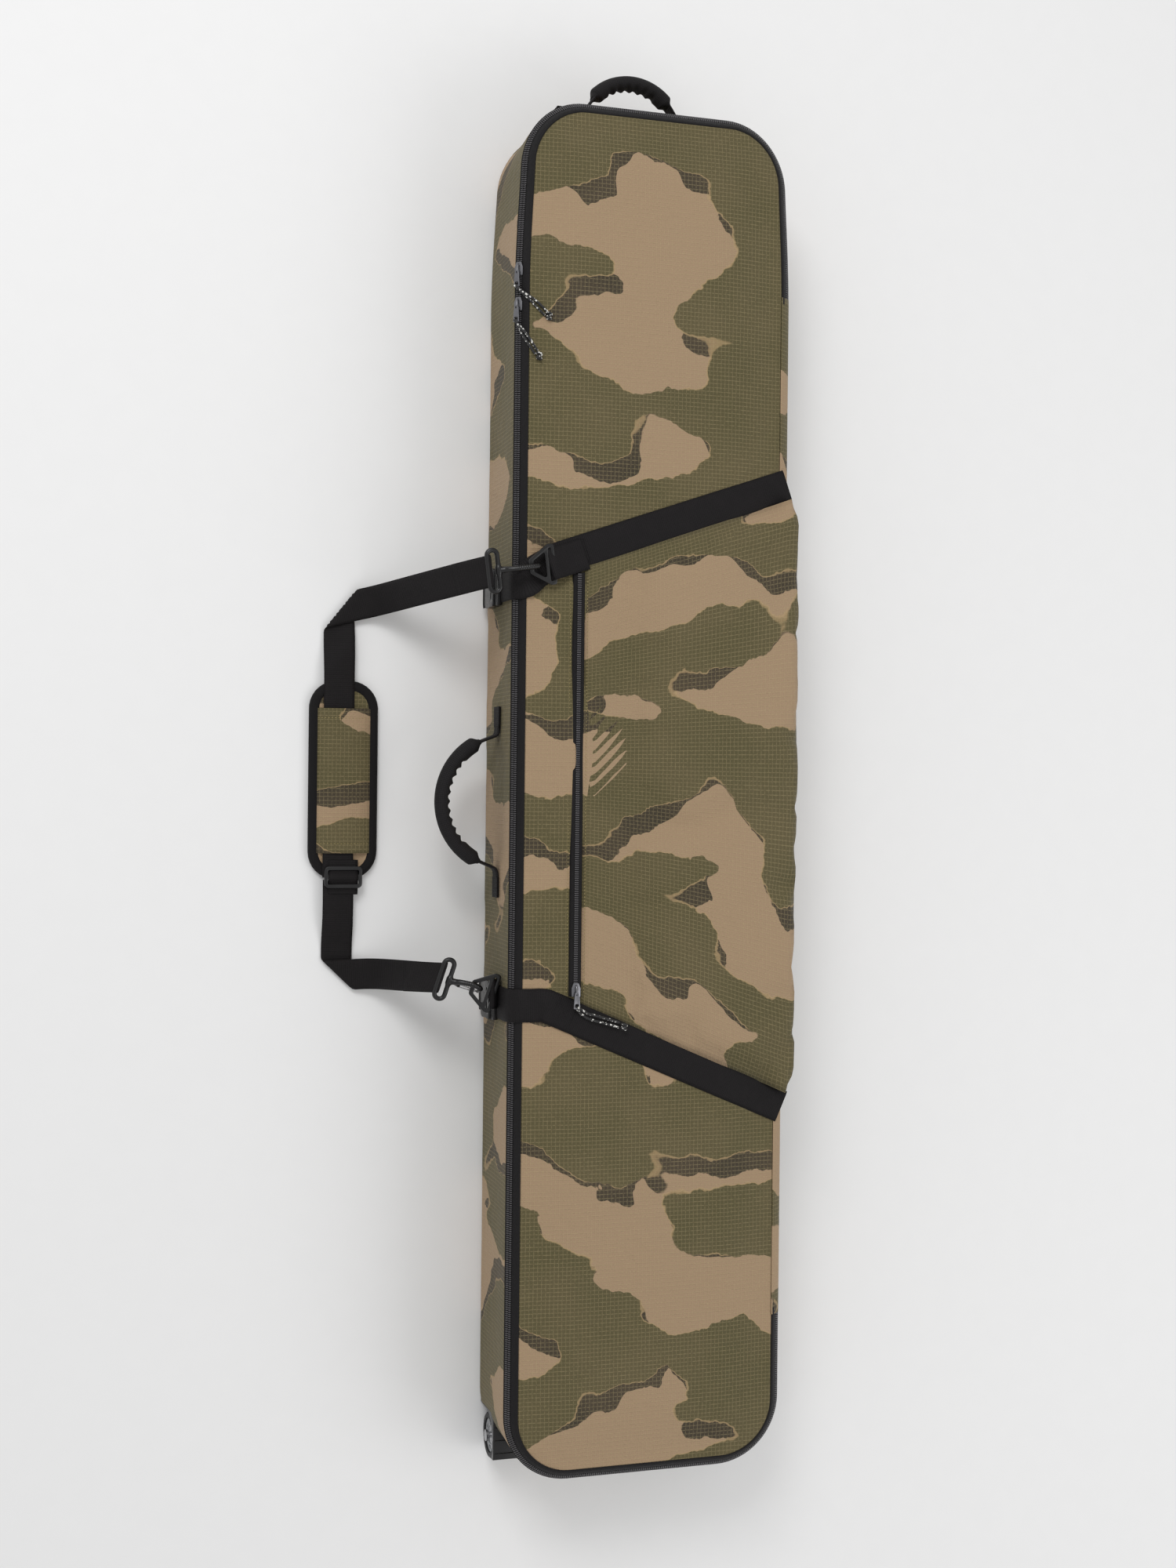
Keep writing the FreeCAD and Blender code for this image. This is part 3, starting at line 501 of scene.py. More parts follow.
def metal_finish(name, colour, roughness):
    """Plated metal with fine brushing and a few duller patches."""
    made = Finish(name, roughness, metallic=1.0)
    places = made.solid_places()
    stretched = made.add("Mapping", {"Vector": places, "Scale": (1, 0.08, 1)})
    brushed = made.noise(stretched, 2200, 2)
    dull = made.noise(places, 110, 3)
    duller = linear(*[v * 0.7 for v in colour])
    made.colour(made.mix(made.ramp(dull, 0.4, 0.7, 0, 0.35), linear(*colour), duller))
    made.rough(made.ramp(dull, 0.35, 0.7, roughness, roughness + 0.18))
    made.bump(brushed, 0.00005, 0.5)
    return made.material


def cord_finish(name):
    """Braided black cord with pale reflective flecks."""
    made = Finish(name, 0.6, sheen=0.1)
    places = made.solid_places()
    cells = made.add("TexVoronoi", {"Vector": places, "Scale": 330.0}, output=0)
    fleck = made.ramp(cells, 0.46, 0.38)
    chosen = made.ramp(made.noise(places, 260, 1), 0.47, 0.52)
    made.colour(made.mix(made.maths("MULTIPLY", fleck, chosen), linear(26, 25, 26), linear(225, 224, 218)))
    made.bump(made.noise(places, 900, 2), 0.0003, 0.8)
    return made.material


def cloth_finish(name, colour, light, pitch=0.0012, roughness=0.75):
    """Plain woven cloth: tape, binding, lining or grip sleeve, with painted shade in the gaps between its
    threads.
    """
    made = Finish(name, roughness, specular=0.22)
    places = made.places()
    across, along = made.split(places)
    warp = made.stripes(across, pitch, pitch * 0.8)
    weft = made.stripes(along, pitch, pitch * 0.8)
    weave = made.maths("MULTIPLY", warp, weft)
    worn = made.noise(places, 70, 3)
    # painted shade: the gaps between the threads take the darker colour and the thread tops the lighter one,
    # following the weave's bump
    base = made.mix(weave, linear(*colour), linear(*light))
    made.colour(made.mix(made.ramp(worn, 0.4, 0.75, 0, 0.25), base, linear(*light)))
    made.bump(made.maths("ADD", weave, made.noise(places, 300, 2)), pitch * 0.3, 0.8)
    return made.material


CAMO = camouflage_finish("camo_ripstop", (0.31, 0.12, 0))
CAMO_SIDE = camouflage_finish("camo_ripstop_side", (1.27, 2.4, 0))
CAMO_POCKET = camouflage_finish("camo_ripstop_pocket", (2.2, 0.75, 0))
CAMO_SLEEVE = camouflage_finish("camo_ripstop_sleeve", (0.52, 1.93, 0))
LINING = cloth_finish("lining_cloth", (38, 38, 40), (56, 56, 58))
TAPE = cloth_finish("zip_tape_cloth", (14, 13, 14), (27, 25, 26), 0.0009, 0.6)
BINDING = cloth_finish("binding_cloth", (12, 11, 12), (25, 23, 24), 0.0010)
WEBBING = webbing_finish("black_webbing", (20, 17, 18))
PLASTIC = plastic_finish("black_acetal", (14, 13, 14), 0.32)
# the coil's grey is partly its own dark colour and partly painted sheen, lightened to stand in for the glints
# along it
TEETH = plastic_finish("zip_coil", (66, 64, 66), 0.28, 0.5)
GRIP = cloth_finish("grip_sleeve_cloth", (17, 16, 17), (34, 32, 33), 0.0022)
GUNMETAL = metal_finish("slider_gunmetal", (128, 128, 132), 0.3)
STEEL = metal_finish("gate_steel", (190, 190, 192), 0.24)
RUBBER = plastic_finish("tyre_rubber", (32, 32, 33), 0.62, 3)
HUB = plastic_finish("hub_plastic", (150, 152, 154), 0.42)
CORD = cord_finish("flecked_cord")
THREAD = cloth_finish("seam_thread", (128, 116, 72), (168, 152, 104), 0.0008)
BLACK_THREAD = cloth_finish("black_thread", (14, 13, 14), (40, 38, 39), 0.0008)

FOR_SLOT = {
    "camo_fabric": CAMO,
    "lining": LINING,
    "webbing": WEBBING,
    "zip_tape": TAPE,
    "cord": CORD,
    "black_plastic": PLASTIC,
    "grip": GRIP,
    "slider_metal": GUNMETAL,
    "steel": STEEL,
    "tyre": RUBBER,
    "hub": HUB,
}


def finish_cad_nodes():
    """Gives each CAD node the finish of its slot."""
    slot_of = {part["node"]: part["material_slot"] for part in frame["record"]["subparts"]}
    for name, piece in frame["nodes"].items():
        for material_slot in piece.material_slots:
            material_slot.material = FOR_SLOT[slot_of[name]]


# ------------------------------------------------------------------ the bag's plan and heights

HALF_WIDTH, HALF_LENGTH, CORNER = 176.0, 830.0, 80.0
SPINE = HALF_LENGTH - HALF_WIDTH
BEVEL_FOOT, PANEL_RIM = 146.0, 160.0  # heights of the sloped front edge's two borders
BACK_ROUND = 30.0
CELL = 8.0


def plan_columns():
    """Round the plan: each column's corner centre, outward direction and distance along the edge."""
    sx, sy = HALF_WIDTH - CORNER, HALF_LENGTH - CORNER
    corners = [(sx, -sy), (sx, sy), (-sx, sy), (-sx, -sy)]
    centres, angles = [], []
    for k, corner in enumerate(corners):
        turn = np.linspace(-90 + 90 * k, 90 * k, 17)
        centres += [corner] * len(turn)
        angles += list(turn)
        following = np.array(corners[(k + 1) % 4])
        length = np.linalg.norm(following - corner)
        steps = np.linspace(0, 1, int(round(length / CELL)) + 1)[1:-1]
        centres += [tuple(corner + (following - corner) * s) for s in steps]
        angles += [90 * k] * len(steps)
    centres, angles = np.array(centres), np.radians(angles)
    directions = np.stack([np.cos(angles), np.sin(angles)], 1)
    edge = centres + directions * CORNER
    along = arc_lengths(np.vstack([edge, edge[:1]]))
    return centres, directions, along


CENTRES, DIRECTIONS, ALONG = plan_columns()
COLUMNS = len(CENTRES)


def plan_ring(inset):
    """The plan outline, moved inwards; past the corner radius it closes on the bag's middle line."""
    if inset < CORNER - 1:
        return CENTRES + DIRECTIONS * (CORNER - inset)
    share = (inset - CORNER + 1) / (HALF_WIDTH - CORNER + 1)
    middle = np.stack([np.zeros(COLUMNS), np.clip(CENTRES[:, 1], -SPINE, SPINE)], 1)
    return (CENTRES + DIRECTIONS) * (1 - share) + middle * share


def taper(points):
    """The bag is slightly narrower towards its top end."""
    made = np.array(points, float)
    made[..., 0] *= 1 - 0.045 * smooth_step((made[..., 1] - 600) / 220)
    return made


def ring_grid(profile):
    """A grid from (inset, height) rows, each row running round the plan."""
    rows = []
    for inset, height in profile:
        flat = plan_ring(inset)
        rows.append(np.column_stack([flat, np.full(COLUMNS, float(height))]))
    return taper(np.array(rows))


def noise_field(points, scale, seed=0.0, octaves=1):
    """Smooth noise of about -1 to 1 at points in millimetres; scale is the size of a wave."""
    flat = points.reshape(-1, 3) / scale + seed
    values = [sum(noise.noise(Vector(p) * 2**k) / 2**k for k in range(octaves)) for p in flat]
    return np.array(values).reshape(points.shape[:-1])


STRAP_WIDTH = 40.0
STRAPS = {
    "upper": {"bend": (-125.0, 277.0), "slope": 0.3515, "side": 248.0},
    "lower": {"bend": (-135.0, -256.0), "slope": -0.4335, "side": -257.0},
}


def strap_centre(strap, x):
    """The height up the bag of a lash strap's middle line at x."""
    (bend_x, bend_y), slope = strap["bend"], strap["slope"]
    right = bend_y + (x - bend_x) * slope
    left = np.interp(x, [-172, bend_x], [strap["side"], bend_y])
    return np.where(x > bend_x, right, left)


def strap_distance(x, y):
    """Distance from the nearest lash strap's middle line."""
    gaps = [np.abs(y - strap_centre(strap, x)) / math.hypot(1, strap["slope"]) for strap in STRAPS.values()]
    return np.minimum(*gaps)


def front_height(x, y):
    """Height of the padded front panel's outer face."""
    edge = np.minimum(HALF_WIDTH - np.abs(x), HALF_LENGTH - np.abs(y)) - 14
    height = PANEL_RIM + 7.0 * smooth_step(edge / 75)
    pressed = smooth_step(1.6 - strap_distance(x, y) / 22)
    return height - 2.6 * pressed * smooth_step(edge / 30)


# ------------------------------------------------------------------ cloth simulation


def settle_cloth(name, grid, held, growth, frames, limit, stiffness, wrap_columns=False, pressure=0.0):
    """Lets a sheet of cloth find its folds.

    held is 1 where it is sewn down, growth is the spare cloth, and limit is the furthest that it moves.
    """
    rows, columns = grid.shape[:2]
    r, c = quads(rows, columns, wrap_columns=wrap_columns)
    work = new_piece(name, grid.reshape(-1, 3), r * columns + (c % columns), [])
    group = work.vertex_groups.new(name="held")
    for index, value in enumerate(held.ravel()):
        group.add([index], float(value), "REPLACE")
    cloth = work.modifiers.new("cloth", "CLOTH")
    settings = cloth.settings
    settings.quality = 7
    settings.mass = 0.25
    settings.tension_stiffness = settings.compression_stiffness = 18
    settings.shear_stiffness = 6
    settings.bending_stiffness = stiffness
    settings.vertex_group_mass = "held"
    settings.shrink_min = -growth
    settings.effector_weights.gravity = 0
    settings.use_pressure = pressure != 0
    settings.uniform_pressure_force = pressure
    cloth.collision_settings.use_collision = False
    cloth.point_cache.frame_end = frames + 1
    scene = bpy.context.scene
    for step in range(1, frames + 1):
        scene.frame_set(step)
    shown = work.evaluated_get(bpy.context.evaluated_depsgraph_get()).data
    moved = np.empty(len(shown.vertices) * 3)
    shown.vertices.foreach_get("co", moved)
    moved = moved.reshape(grid.shape) / MM
    scene.frame_set(1)
    mesh = work.data
    bpy.data.objects.remove(work)
    bpy.data.meshes.remove(mesh)
    _, same = np.unique(np.round(grid.reshape(-1, 3), 3), axis=0, return_inverse=True)
    same = same.ravel()
    totals = np.zeros((same.max() + 1, 3))
    np.add.at(totals, same, moved.reshape(-1, 3))
    moved = (totals / np.bincount(same)[:, None])[same].reshape(grid.shape)
    change = moved - grid
    length = np.maximum(np.linalg.norm(change, axis=2, keepdims=True), 1e-9)
    return grid + change / length * limit * np.tanh(length / limit)


# ------------------------------------------------------------------ pull cords

CORD_DIAMETER = 3.0
CORDS = {
    "upper_main_pull": {
        "routes": [
            [
                (-179.9, 602.4, 155.9), (-172, 594, 161.2), (-159.5, 587, 163.6),
                (-148.5, 579, 163.6), (-140.5, 571.5, 163.2),
            ],
            [
                (-175.8, 602, 151.6), (-171, 595, 155.8), (-163.5, 586, 162.2),
                (-153, 576.5, 162), (-143.5, 567.5, 162),
            ],
        ],
        "lengths": (51.6, 49.8),
        "knot": (-139, 566.5, 164.6),
        "body": "upper_pull",
    },
    "lower_main_pull": {
        "routes": [
            [
                (-179.5, 561, 155.3), (-173, 552, 161), (-165, 542, 164),
                (-158, 532, 164), (-152.5, 524, 163.4),
            ],
            [
                (-175.8, 560, 151.6), (-172.5, 551, 155), (-168.5, 541, 158.5),
                (-161.5, 530, 162.3), (-155, 520.5, 162),
            ],
        ],
        "lengths": (47.5, 46.5),
        "knot": (-150.5, 518, 164.6),
        "body": "lower_pull",
    },
    "pocket_pull": {
        "routes": [
            [(-97, -258, 177), (-88, -265, 174.5), (-74, -269, 172.7), (-59, -273, 172.7), (-44, -278, 173)],
            [
                (-99, -258, 171.5), (-91, -269, 171.3), (-76, -275, 171.4),
                (-60, -279, 172), (-45, -284, 172.4),
            ],
        ],
        "lengths": (57.5, 61.7),
        "knot": (-38.5, -283, 174.5),
        "body": "pocket_pull",
    },
}


def cord_curve(name, points):
    """A cord on one smooth spline, which stays close to its route."""
    curve = bpy.data.curves.new(name, "CURVE")
    curve.dimensions = "3D"
    curve.bevel_depth = CORD_DIAMETER / 2 * MM
    curve.bevel_resolution = 4
    curve.resolution_u = 12
    spline = curve.splines.new("NURBS")
    spline.points.add(len(points) - 1)
    for control, point in zip(spline.points, points):
        control.co = (*[v * MM for v in point], 1)
    spline.order_u = 3
    spline.use_endpoint_u = True
    curve.use_fill_caps = True
    curve.materials.append(CORD)
    return add_object(name, curve)


def make_knot(name, centre):
    """An overhand knot: a rounded lump with the cord's turns showing round it."""
    turns = np.linspace(0, math.tau * 3, 97)
    wound = np.stack(
        [
            centre[0] + 2.6 * np.cos(turns) * (1 + 0.1 * np.sin(turns * 2.3)),
            centre[1] + 3.4 * np.sin(turns / 3 + 0.6),
            centre[2] + 2.5 * np.sin(turns),
        ],
        1,
    )
    return rod(name, wound, 1.45, [CORD], sides=10, up=(0.1, 0.97, 0.2))


def make_cords():
    """The two strands and the knot of each pull cord."""
    for name, cord in CORDS.items():
        knot = make_knot(name + "_knot_turns", taper(cord["knot"]))
        give(knot, cord["body"], "cord", name + "_knot")
        for k, (route, length) in enumerate(zip(cord["routes"], cord["lengths"])):
            route = taper(route)
            strand = cord_curve(f"{name}_strand_{k + 1}", route)
            give(strand, cord["body"], "cord", *([name + "_cord"] if k == 0 else []))


# ------------------------------------------------------------------ camera, light and floor


CAMERA_PLACE = (-772.5, 8.7, 2416)
CAMERA_LEAN, CAMERA_ROLL = math.radians(17), math.radians(0.6)


def make_camera():
    """High over the bag and off to its left."""
    camera = add_object("camera", bpy.data.cameras.new("camera"))
    lean, roll = CAMERA_LEAN, CAMERA_ROLL
    forward = Vector((math.sin(lean), 0, -math.cos(lean)))
    level = Vector((math.cos(lean), 0, math.sin(lean)))
    ahead = Vector((0, 1, 0))
    right = level * math.cos(roll) + ahead * math.sin(roll)
    up = ahead * math.cos(roll) - level * math.sin(roll)
    matrix = Matrix((right, up, -forward)).transposed().to_4x4()
    matrix.translation = Vector(CAMERA_PLACE) * MM
    camera.matrix_world = matrix
    camera.data.sensor_fit = "AUTO"
    camera.data.sensor_width = 36
    camera.data.lens = 45
    camera.data.clip_start, camera.data.clip_end = 0.05, 50
    bpy.context.scene.camera = camera


def area_light(name, place, target, size, power):
    """A soft rectangular light, its place and target in metres."""
    light = bpy.data.lights.new(name, "AREA")
    light.shape = "RECTANGLE"
    light.size, light.size_y = size
    light.energy = power
    made = add_object(name, light)
    made.location = place
    made.rotation_euler = (Vector(target) - Vector(place)).to_track_quat("-Z", "Y").to_euler()


FLOOR_REACH, FLOOR_LEVEL = 9000, -0.6


def make_studio():
    """A pale floor, a pale even surround and large soft lights."""
    square = [(-1, -1), (1, -1), (1, 1), (-1, 1)]
    corners = [(x * FLOOR_REACH, y * FLOOR_REACH, FLOOR_LEVEL) for x, y in square]
    floor = new_piece("floor", corners, [(0, 1, 2, 3)], [])
    pale = Finish("floor_paper", 0.95)
    grain = pale.noise(pale.solid_places(), 30, 4)
    pale.colour(pale.mix(pale.ramp(grain, 0.3, 0.7, 0, 0.25), linear(238, 238, 238), linear(235, 235, 235)))
    pale.shader.inputs["Specular IOR Level"].default_value = 0.1
    floor.data.materials.append(pale.material)
    world = bpy.data.worlds.new("surround")
    bpy.context.scene.world = world
    world.use_nodes = True
    background = world.node_tree.nodes["Background"]
    background.inputs["Color"].default_value = (1, 1, 1, 1)
    background.inputs["Strength"].default_value = 0.62
    area_light("key", (-1.6, 2.4, 3.2), (0, 0.1, 0), (1.6, 1.6), 62)
    area_light("fill", (2.2, -1.2, 2.6), (0, -0.2, 0), (2.2, 2.2), 26)
    bpy.context.scene.view_settings.view_transform = "Standard"


# ------------------------------------------------------------------ shell of the bag


def bevel(distance, out=0.0):
    """(inset, height) on the sloped front edge, distance up the slope and out from it."""
    return (distance - out) / math.sqrt(2), BEVEL_FOOT + (distance + out) / math.sqrt(2)


SLOPE = 14 * math.sqrt(2)
PARTING = 5.6  # where the zip's two halves meet, up the slope


def back_edge():
    """The rounded back edge, from the side wall to the flat back, as (inset, height)."""
    turns = np.linspace(0, math.pi / 2, 7)
    return [(BACK_ROUND * (1 - math.cos(t)), BACK_ROUND * (1 - math.sin(t))) for t in turns]


def even_rows(points, cell=CELL):
    """More rows between the corners of a profile."""
    path = np.array(points, float)
    along = arc_lengths(path)
    count = max(2, int(round(along[-1] / cell)) + 1)
    places = np.union1d(np.linspace(0, along[-1], count), along)
    places = places[np.append(np.diff(places) > 0.4, True)]
    return [tuple(row) for row in resampled(path, along, places)]


HARDWARE_ON_LEFT = [(248, 26, 110), (-257, 26, 110), (83, 22, 110), (-112, 22, 110)]  # y, half width, top


def side_held(grid, rows_free):
    """1 where the side cloth is sewn down or pressed by what is fixed on it, 0 where it is free."""
    held = np.ones(grid.shape[:2])
    first, last = rows_free
    count = last - first
    for row in range(first, last):
        held[row] = max(0.0, 1 - 3 * min(row - first + 1, last - row) / count)
    x, y, z = grid[..., 0], grid[..., 1], grid[..., 2]
    for middle, half, top in HARDWARE_ON_LEFT:
        near = smooth_step(2 - np.abs(y - middle) / half) * (x < -120) * (z < top + 15)
        held = np.maximum(held, near)
    top_tabs = smooth_step(2 - np.abs(np.abs(x + 22) - 78) / 22) * (y > 780) * (z > 80)
    return np.maximum(held, top_tabs)


def shell_outer():
    """The shell's outer cloth, from the zip down the sides and over the back."""
    side = even_rows([bevel(0.6), (0, 144), (0, BACK_ROUND + 2)])
    turn = back_edge()
    back = even_rows([(BACK_ROUND, 0), (HALF_WIDTH, 0)], 10)
    profile = side + turn + back[1:]
    grid = ring_grid(profile)
    side_rows = len(side) + len(turn)
    share = np.clip((BEVEL_FOOT - grid[..., 2]) / BEVEL_FOOT, 0, 1)
    sag = -2.2 * np.sin(share * math.pi) * (grid[..., 2] > 1)
    ripple = 1.6 * noise_field(grid * np.array([1, 1, 0.4]), 95, 3.1, 2) * np.sin(share * math.pi)
    push = (sag + ripple) * (1 - side_held(grid, (1, side_rows - 2)))
    grid[..., :2] += DIRECTIONS[None] * push[..., None]
    held = side_held(grid, (1, side_rows - 2))
    grid = settle_cloth("shell_settling", grid, held, 0.016, 14, 4.5, 1.5, wrap_columns=True)
    grid[..., 2] = np.maximum(grid[..., 2], 0.0)
    return grid, profile, side_rows


def cut_box(piece, low, high):
    """Cuts a box-shaped opening in a closed piece."""
    low, high = np.array(low, float), np.array(high, float)
    corners = [[(low, high)[(k >> axis) & 1][axis] for axis in range(3)] for k in range(8)]
    sides = [(0, 2, 3, 1), (4, 5, 7, 6), (0, 1, 5, 4), (2, 6, 7, 3), (0, 4, 6, 2), (1, 3, 7, 5)]
    tool = new_piece("cutter", corners, sides, [BINDING], smooth=False)
    made = piece.modifiers.new("cut", "BOOLEAN")
    made.operation, made.solver, made.object = "DIFFERENCE", "EXACT", tool
    graph = bpy.context.evaluated_depsgraph_get()
    mesh = bpy.data.meshes.new_from_object(piece.evaluated_get(graph), depsgraph=graph)
    piece.modifiers.clear()
    old, piece.data = piece.data, mesh
    bpy.data.meshes.remove(old)
    bpy.data.objects.remove(tool)


def cut_wells(piece, low, high):
    """Cuts the wheel wells at both bottom corners of the bag; low and high are the right one's corners."""
    for side in (-1, 1):
        x_low, x_high = sorted((side * low[0], side * high[0]))
        cut_box(piece, (x_low, *low[1:]), (x_high, *high[1:]))


def make_shell():
    """Side, end and back cloth as one sagging shell with a dark lining, open at the wheel corners."""
    outer, profile, side_rows = shell_outer()
    cloth = 4.0
    inner_profile = even_rows([(HALF_WIDTH, 4.4), (34, 4.4)], 14) + [
        (22, 6.2),
        (cloth + 8, 11.5),
        (cloth + 2, 20),
        (cloth, 60),
        (cloth, 110),
        (cloth, 141),
    ]
    inner = ring_grid(inner_profile)
    grid = np.concatenate([outer, inner])
    lengths = arc_lengths(np.array(profile + inner_profile + profile[:1]))
    back_row = side_rows - 3
    inner_row = len(profile) - 1

    def uv(r, c):
        across = lengths[r]
        along = ALONG[c]
        flat = grid[r % len(grid), c % COLUMNS]
        on_back = (r[:, :1] >= back_row) & (r[:, :1] < inner_row + 1)
        return np.where(on_back[..., None], flat[..., :2], np.stack([across, along], -1))

    finishes = [CAMO_SIDE, LINING, BINDING]
    kinds = [2] + [0] * (inner_row - 1) + [1] * (len(grid) - 1 - inner_row) + [2]
    made = sheet_piece("shell_cover", grid, finishes, uv, kinds, wrap_rows=True, wrap_columns=True)
    join_middle(made)
    outward(made)
    cut_wells(made, (131.8, -900, -5), (190, -768.6, 67.4))
    panels = ["left_gusset", "right_gusset", "top_end_panel", "bottom_end_panel", "back_panel"]
    give(made, "shell", "camo_fabric", *panels)


# ------------------------------------------------------------------ front panel


def make_front_cover():
    """The padded front panel: ripstop outside, lining inside, pressed down under the lash straps."""
    outer_profile = [bevel(SLOPE - 0.4), (16, 160.6)] + even_rows([(20, 161), (HALF_WIDTH, 161)])
    outer = ring_grid(outer_profile)
    outer[2:, :, 2] = front_height(outer[2:, :, 0], outer[2:, :, 1])
    x, y = outer[..., 0], outer[..., 1]
    edge_rows = np.linspace(1, 0, 5)
    held = np.zeros(outer.shape[:2])
    held[: len(edge_rows)] = edge_rows[:, None]
    held = np.maximum(held, smooth_step(2.0 - strap_distance(x, y) / 18))
    under_pulls = smooth_step((-112 - x) / 14) * smooth_step((110 - np.abs(y - 600)) / 20)
    held = np.maximum(held, 0.97 * under_pulls)
    ripple = noise_field(outer * np.array([0.6, 1, 0]), 150, 5.2, 2)
    outer[..., 2] += 2.2 * ripple * (1 - held)
    outer = settle_cloth("front_settling", outer, held, 0.022, 18, 5.5, 0.8, wrap_columns=True)

    inner_profile = even_rows([(HALF_WIDTH, 153.6), (20, 153.6)], 16) + [(13, 154.5)]
    inner = ring_grid(inner_profile)
    grid = np.concatenate([outer, inner])
    kinds = [0] * (len(outer) - 1) + [1] * len(inner) + [1]
    finishes = [CAMO, LINING]
    made = sheet_piece("front_cover", grid, finishes, plan_uv(grid), kinds, wrap_rows=True, wrap_columns=True)
    join_middle(made)
    give(outward(made), "lid", "camo_fabric", "front_panel")


# ------------------------------------------------------------------ main zip

ZIP_START, ZIP_END = 608.0, -646.0  # the zip's ends on the right side


def on_zip(points):
    """True where the zip runs: everywhere but the hinged stretch of the right side."""
    return (points[:, 0] < 100) | (points[:, 1] > ZIP_START) | (points[:, 1] < ZIP_END)


def zip_columns():
    """The columns that the zip runs along, from its upper end on the right round the bag to its lower end."""
    edge = CENTRES + DIRECTIONS * CORNER
    open_columns = np.where(~on_zip(edge))[0]
    first = open_columns.max()
    count = COLUMNS - (open_columns.max() - open_columns.min()) + 1
    return (first + np.arange(count)) % COLUMNS


def sloped_band(name, section, columns, material, body, node):
    """A strip along the front edge; section is its closed outline as (up the slope, out from it)."""
    grid = ring_grid([bevel(*corner) for corner in section])[:, columns].transpose(1, 0, 2)
    along = arc_lengths(grid[:, 0])
    around = arc_lengths(np.array(list(section) + [section[0]], float))
    made = sheet_piece(name, grid, [material], strip_uv(around, along), wrap_columns=True)
    close_ends(made)
    give(made, body, "zip_tape", node)


TOOTH_PITCH = 2.6


def tooth_rows(name, centres, across, out, length, body):
    """One zip half: rounded coil loops side by side along a line of centres."""
    along = arc_lengths(centres)
    places = np.arange(TOOTH_PITCH / 2, along[-1], TOOTH_PITCH)
    middle, side, up = [resampled(values, along, places) for values in (centres, across, out)]
    forward = np.cross(side, up)
    outline = np.array([(-1, -0.7), (-1, 0.2), (-0.6, 0.75), (0, 0.95), (0.6, 0.75), (1, 0.2), (1, -0.7)])
    ends = [(-0.5, 0.55), (-0.36, 1.0), (0.36, 1.0), (0.5, 0.55)]
    loops = []
    for share, size in ends:
        for a, b in outline:
            shift = forward * (a * size * TOOTH_PITCH * 0.36) + up * (b * size * 0.95)
            loops.append(middle + side * (share * length) + shift)
    vertices = np.stack(loops, 1)
    count, ring = len(places), len(outline)
    faces = []
    for level in range(len(ends) - 1):
        for k in range(ring):
            a, b = level * ring + k, level * ring + (k + 1) % ring
            faces.append((a, b, b + ring, a + ring))
    caps = [tuple(range(ring)), tuple(range((len(ends) - 1) * ring, len(ends) * ring))]
    base = np.arange(count)[:, None, None] * vertices.shape[1]
    quads_all = (np.array(faces)[None] + base).reshape(-1, 4).tolist()
    caps_all = (np.array(caps)[None] + base).reshape(-1, ring).tolist()
    made = new_piece(name, vertices.reshape(-1, 3), quads_all + caps_all, [TEETH])
    with editing(made) as work:
        bmesh.ops.recalc_face_normals(work, faces=work.faces)
    give(made, body, "zip_tape")


def make_main_zip():
    """The main zip's two tapes and two rows of teeth."""
    columns = zip_columns()
    rim = PARTING - 0.2
    shell_tape = [(0.2, -0.6), (0.2, 0.9), (1.6, 0.9), (2.2, 0.3), (rim, 0.2), (rim, -0.6)]
    sloped_band("zip_tape_outer", shell_tape, columns, TAPE, "shell", "main_zip_shell_side")
    lid_tape = [
        (PARTING + 0.2, -0.6), (PARTING + 0.2, 0.2), (8.8, 0.3), (9.6, 1.1), (12.0, 1.9),
        (16.0, 2.1), (19.0, 1.5), (20.2, 0.4), (19.4, -0.8),
    ]
    sloped_band("zip_tape_inner", lid_tape, columns, TAPE, "lid", "main_zip_lid_side")
    low, middle, high = [ring_grid([bevel(d, 1.0)])[0][columns] for d in (1.8, PARTING, 9.4)]
    outer_side = (middle - low) / np.linalg.norm(middle - low, axis=1, keepdims=True)
    tangent = np.gradient(middle, axis=0)
    tangent /= np.linalg.norm(tangent, axis=1, keepdims=True)
    out = np.cross(outer_side, tangent)
    out *= np.sign(out[:, 2:3])
    tooth_rows("zip_teeth_outer", (low + middle) / 2, outer_side, out, 3.6, "shell")
    tooth_rows("zip_teeth_inner", (high + middle) / 2, outer_side, out, 3.6, "lid")


def make_hinge_cloth():
    """The strip of cloth that joins the front panel to the right side, where there is no zip."""
    edge = CENTRES + DIRECTIONS * CORNER
    columns = np.where(~on_zip(edge))[0]
    columns = np.arange(columns.min() - 1, columns.max() + 2)
    section = [(-0.5, 0.2), (3, 1.6), (8, 2.2), (13, 2.0), (17, 1.2), (SLOPE + 1.5, 0.4)]
    profile = [bevel(*point) for point in section]
    middle = ring_grid(profile)[:, columns].transpose(1, 0, 2)
    fine = np.linspace(0, len(profile) - 1, 11)
    middle = np.stack([resampled(row, np.arange(len(profile)), fine) for row in middle])
    made = band("hinge_cloth", middle, 1.2, [CAMO_SIDE])
    give(made, None, "camo_fabric", "hinge_fold")
    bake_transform(made)


# ------------------------------------------------------------------ lash straps and pocket


def lash_route(strap):
    """Points and normals of a lash strap, from the right edge over the lid and down the left side."""
    points, normals = [], []
    for x in np.arange(171.5, -160, -9.0):
        y = float(strap_centre(strap, x))
        points.append((x, y, float(front_height(x, y)) + 1.4))
        normals.append((0, 0, 1))
    side = strap["side"]
    for point, normal in (
        ((-163, side + 1, 162.6), (-0.3, 0, 0.95)),
        ((-170.5, side, 157.3), (-0.7, 0, 0.7)),
        ((-176.5, side, 151.2), (-0.8, 0, 0.6)),
        ((-178.3, side, 143), (-1, 0, 0.1)),
        ((-178.3, side, 125), (-1, 0, 0)),
        ((-178.6, side, 104), (-1, 0, 0)),
    ):
        points.append(point)
        normals.append(normal)
    return points, normals


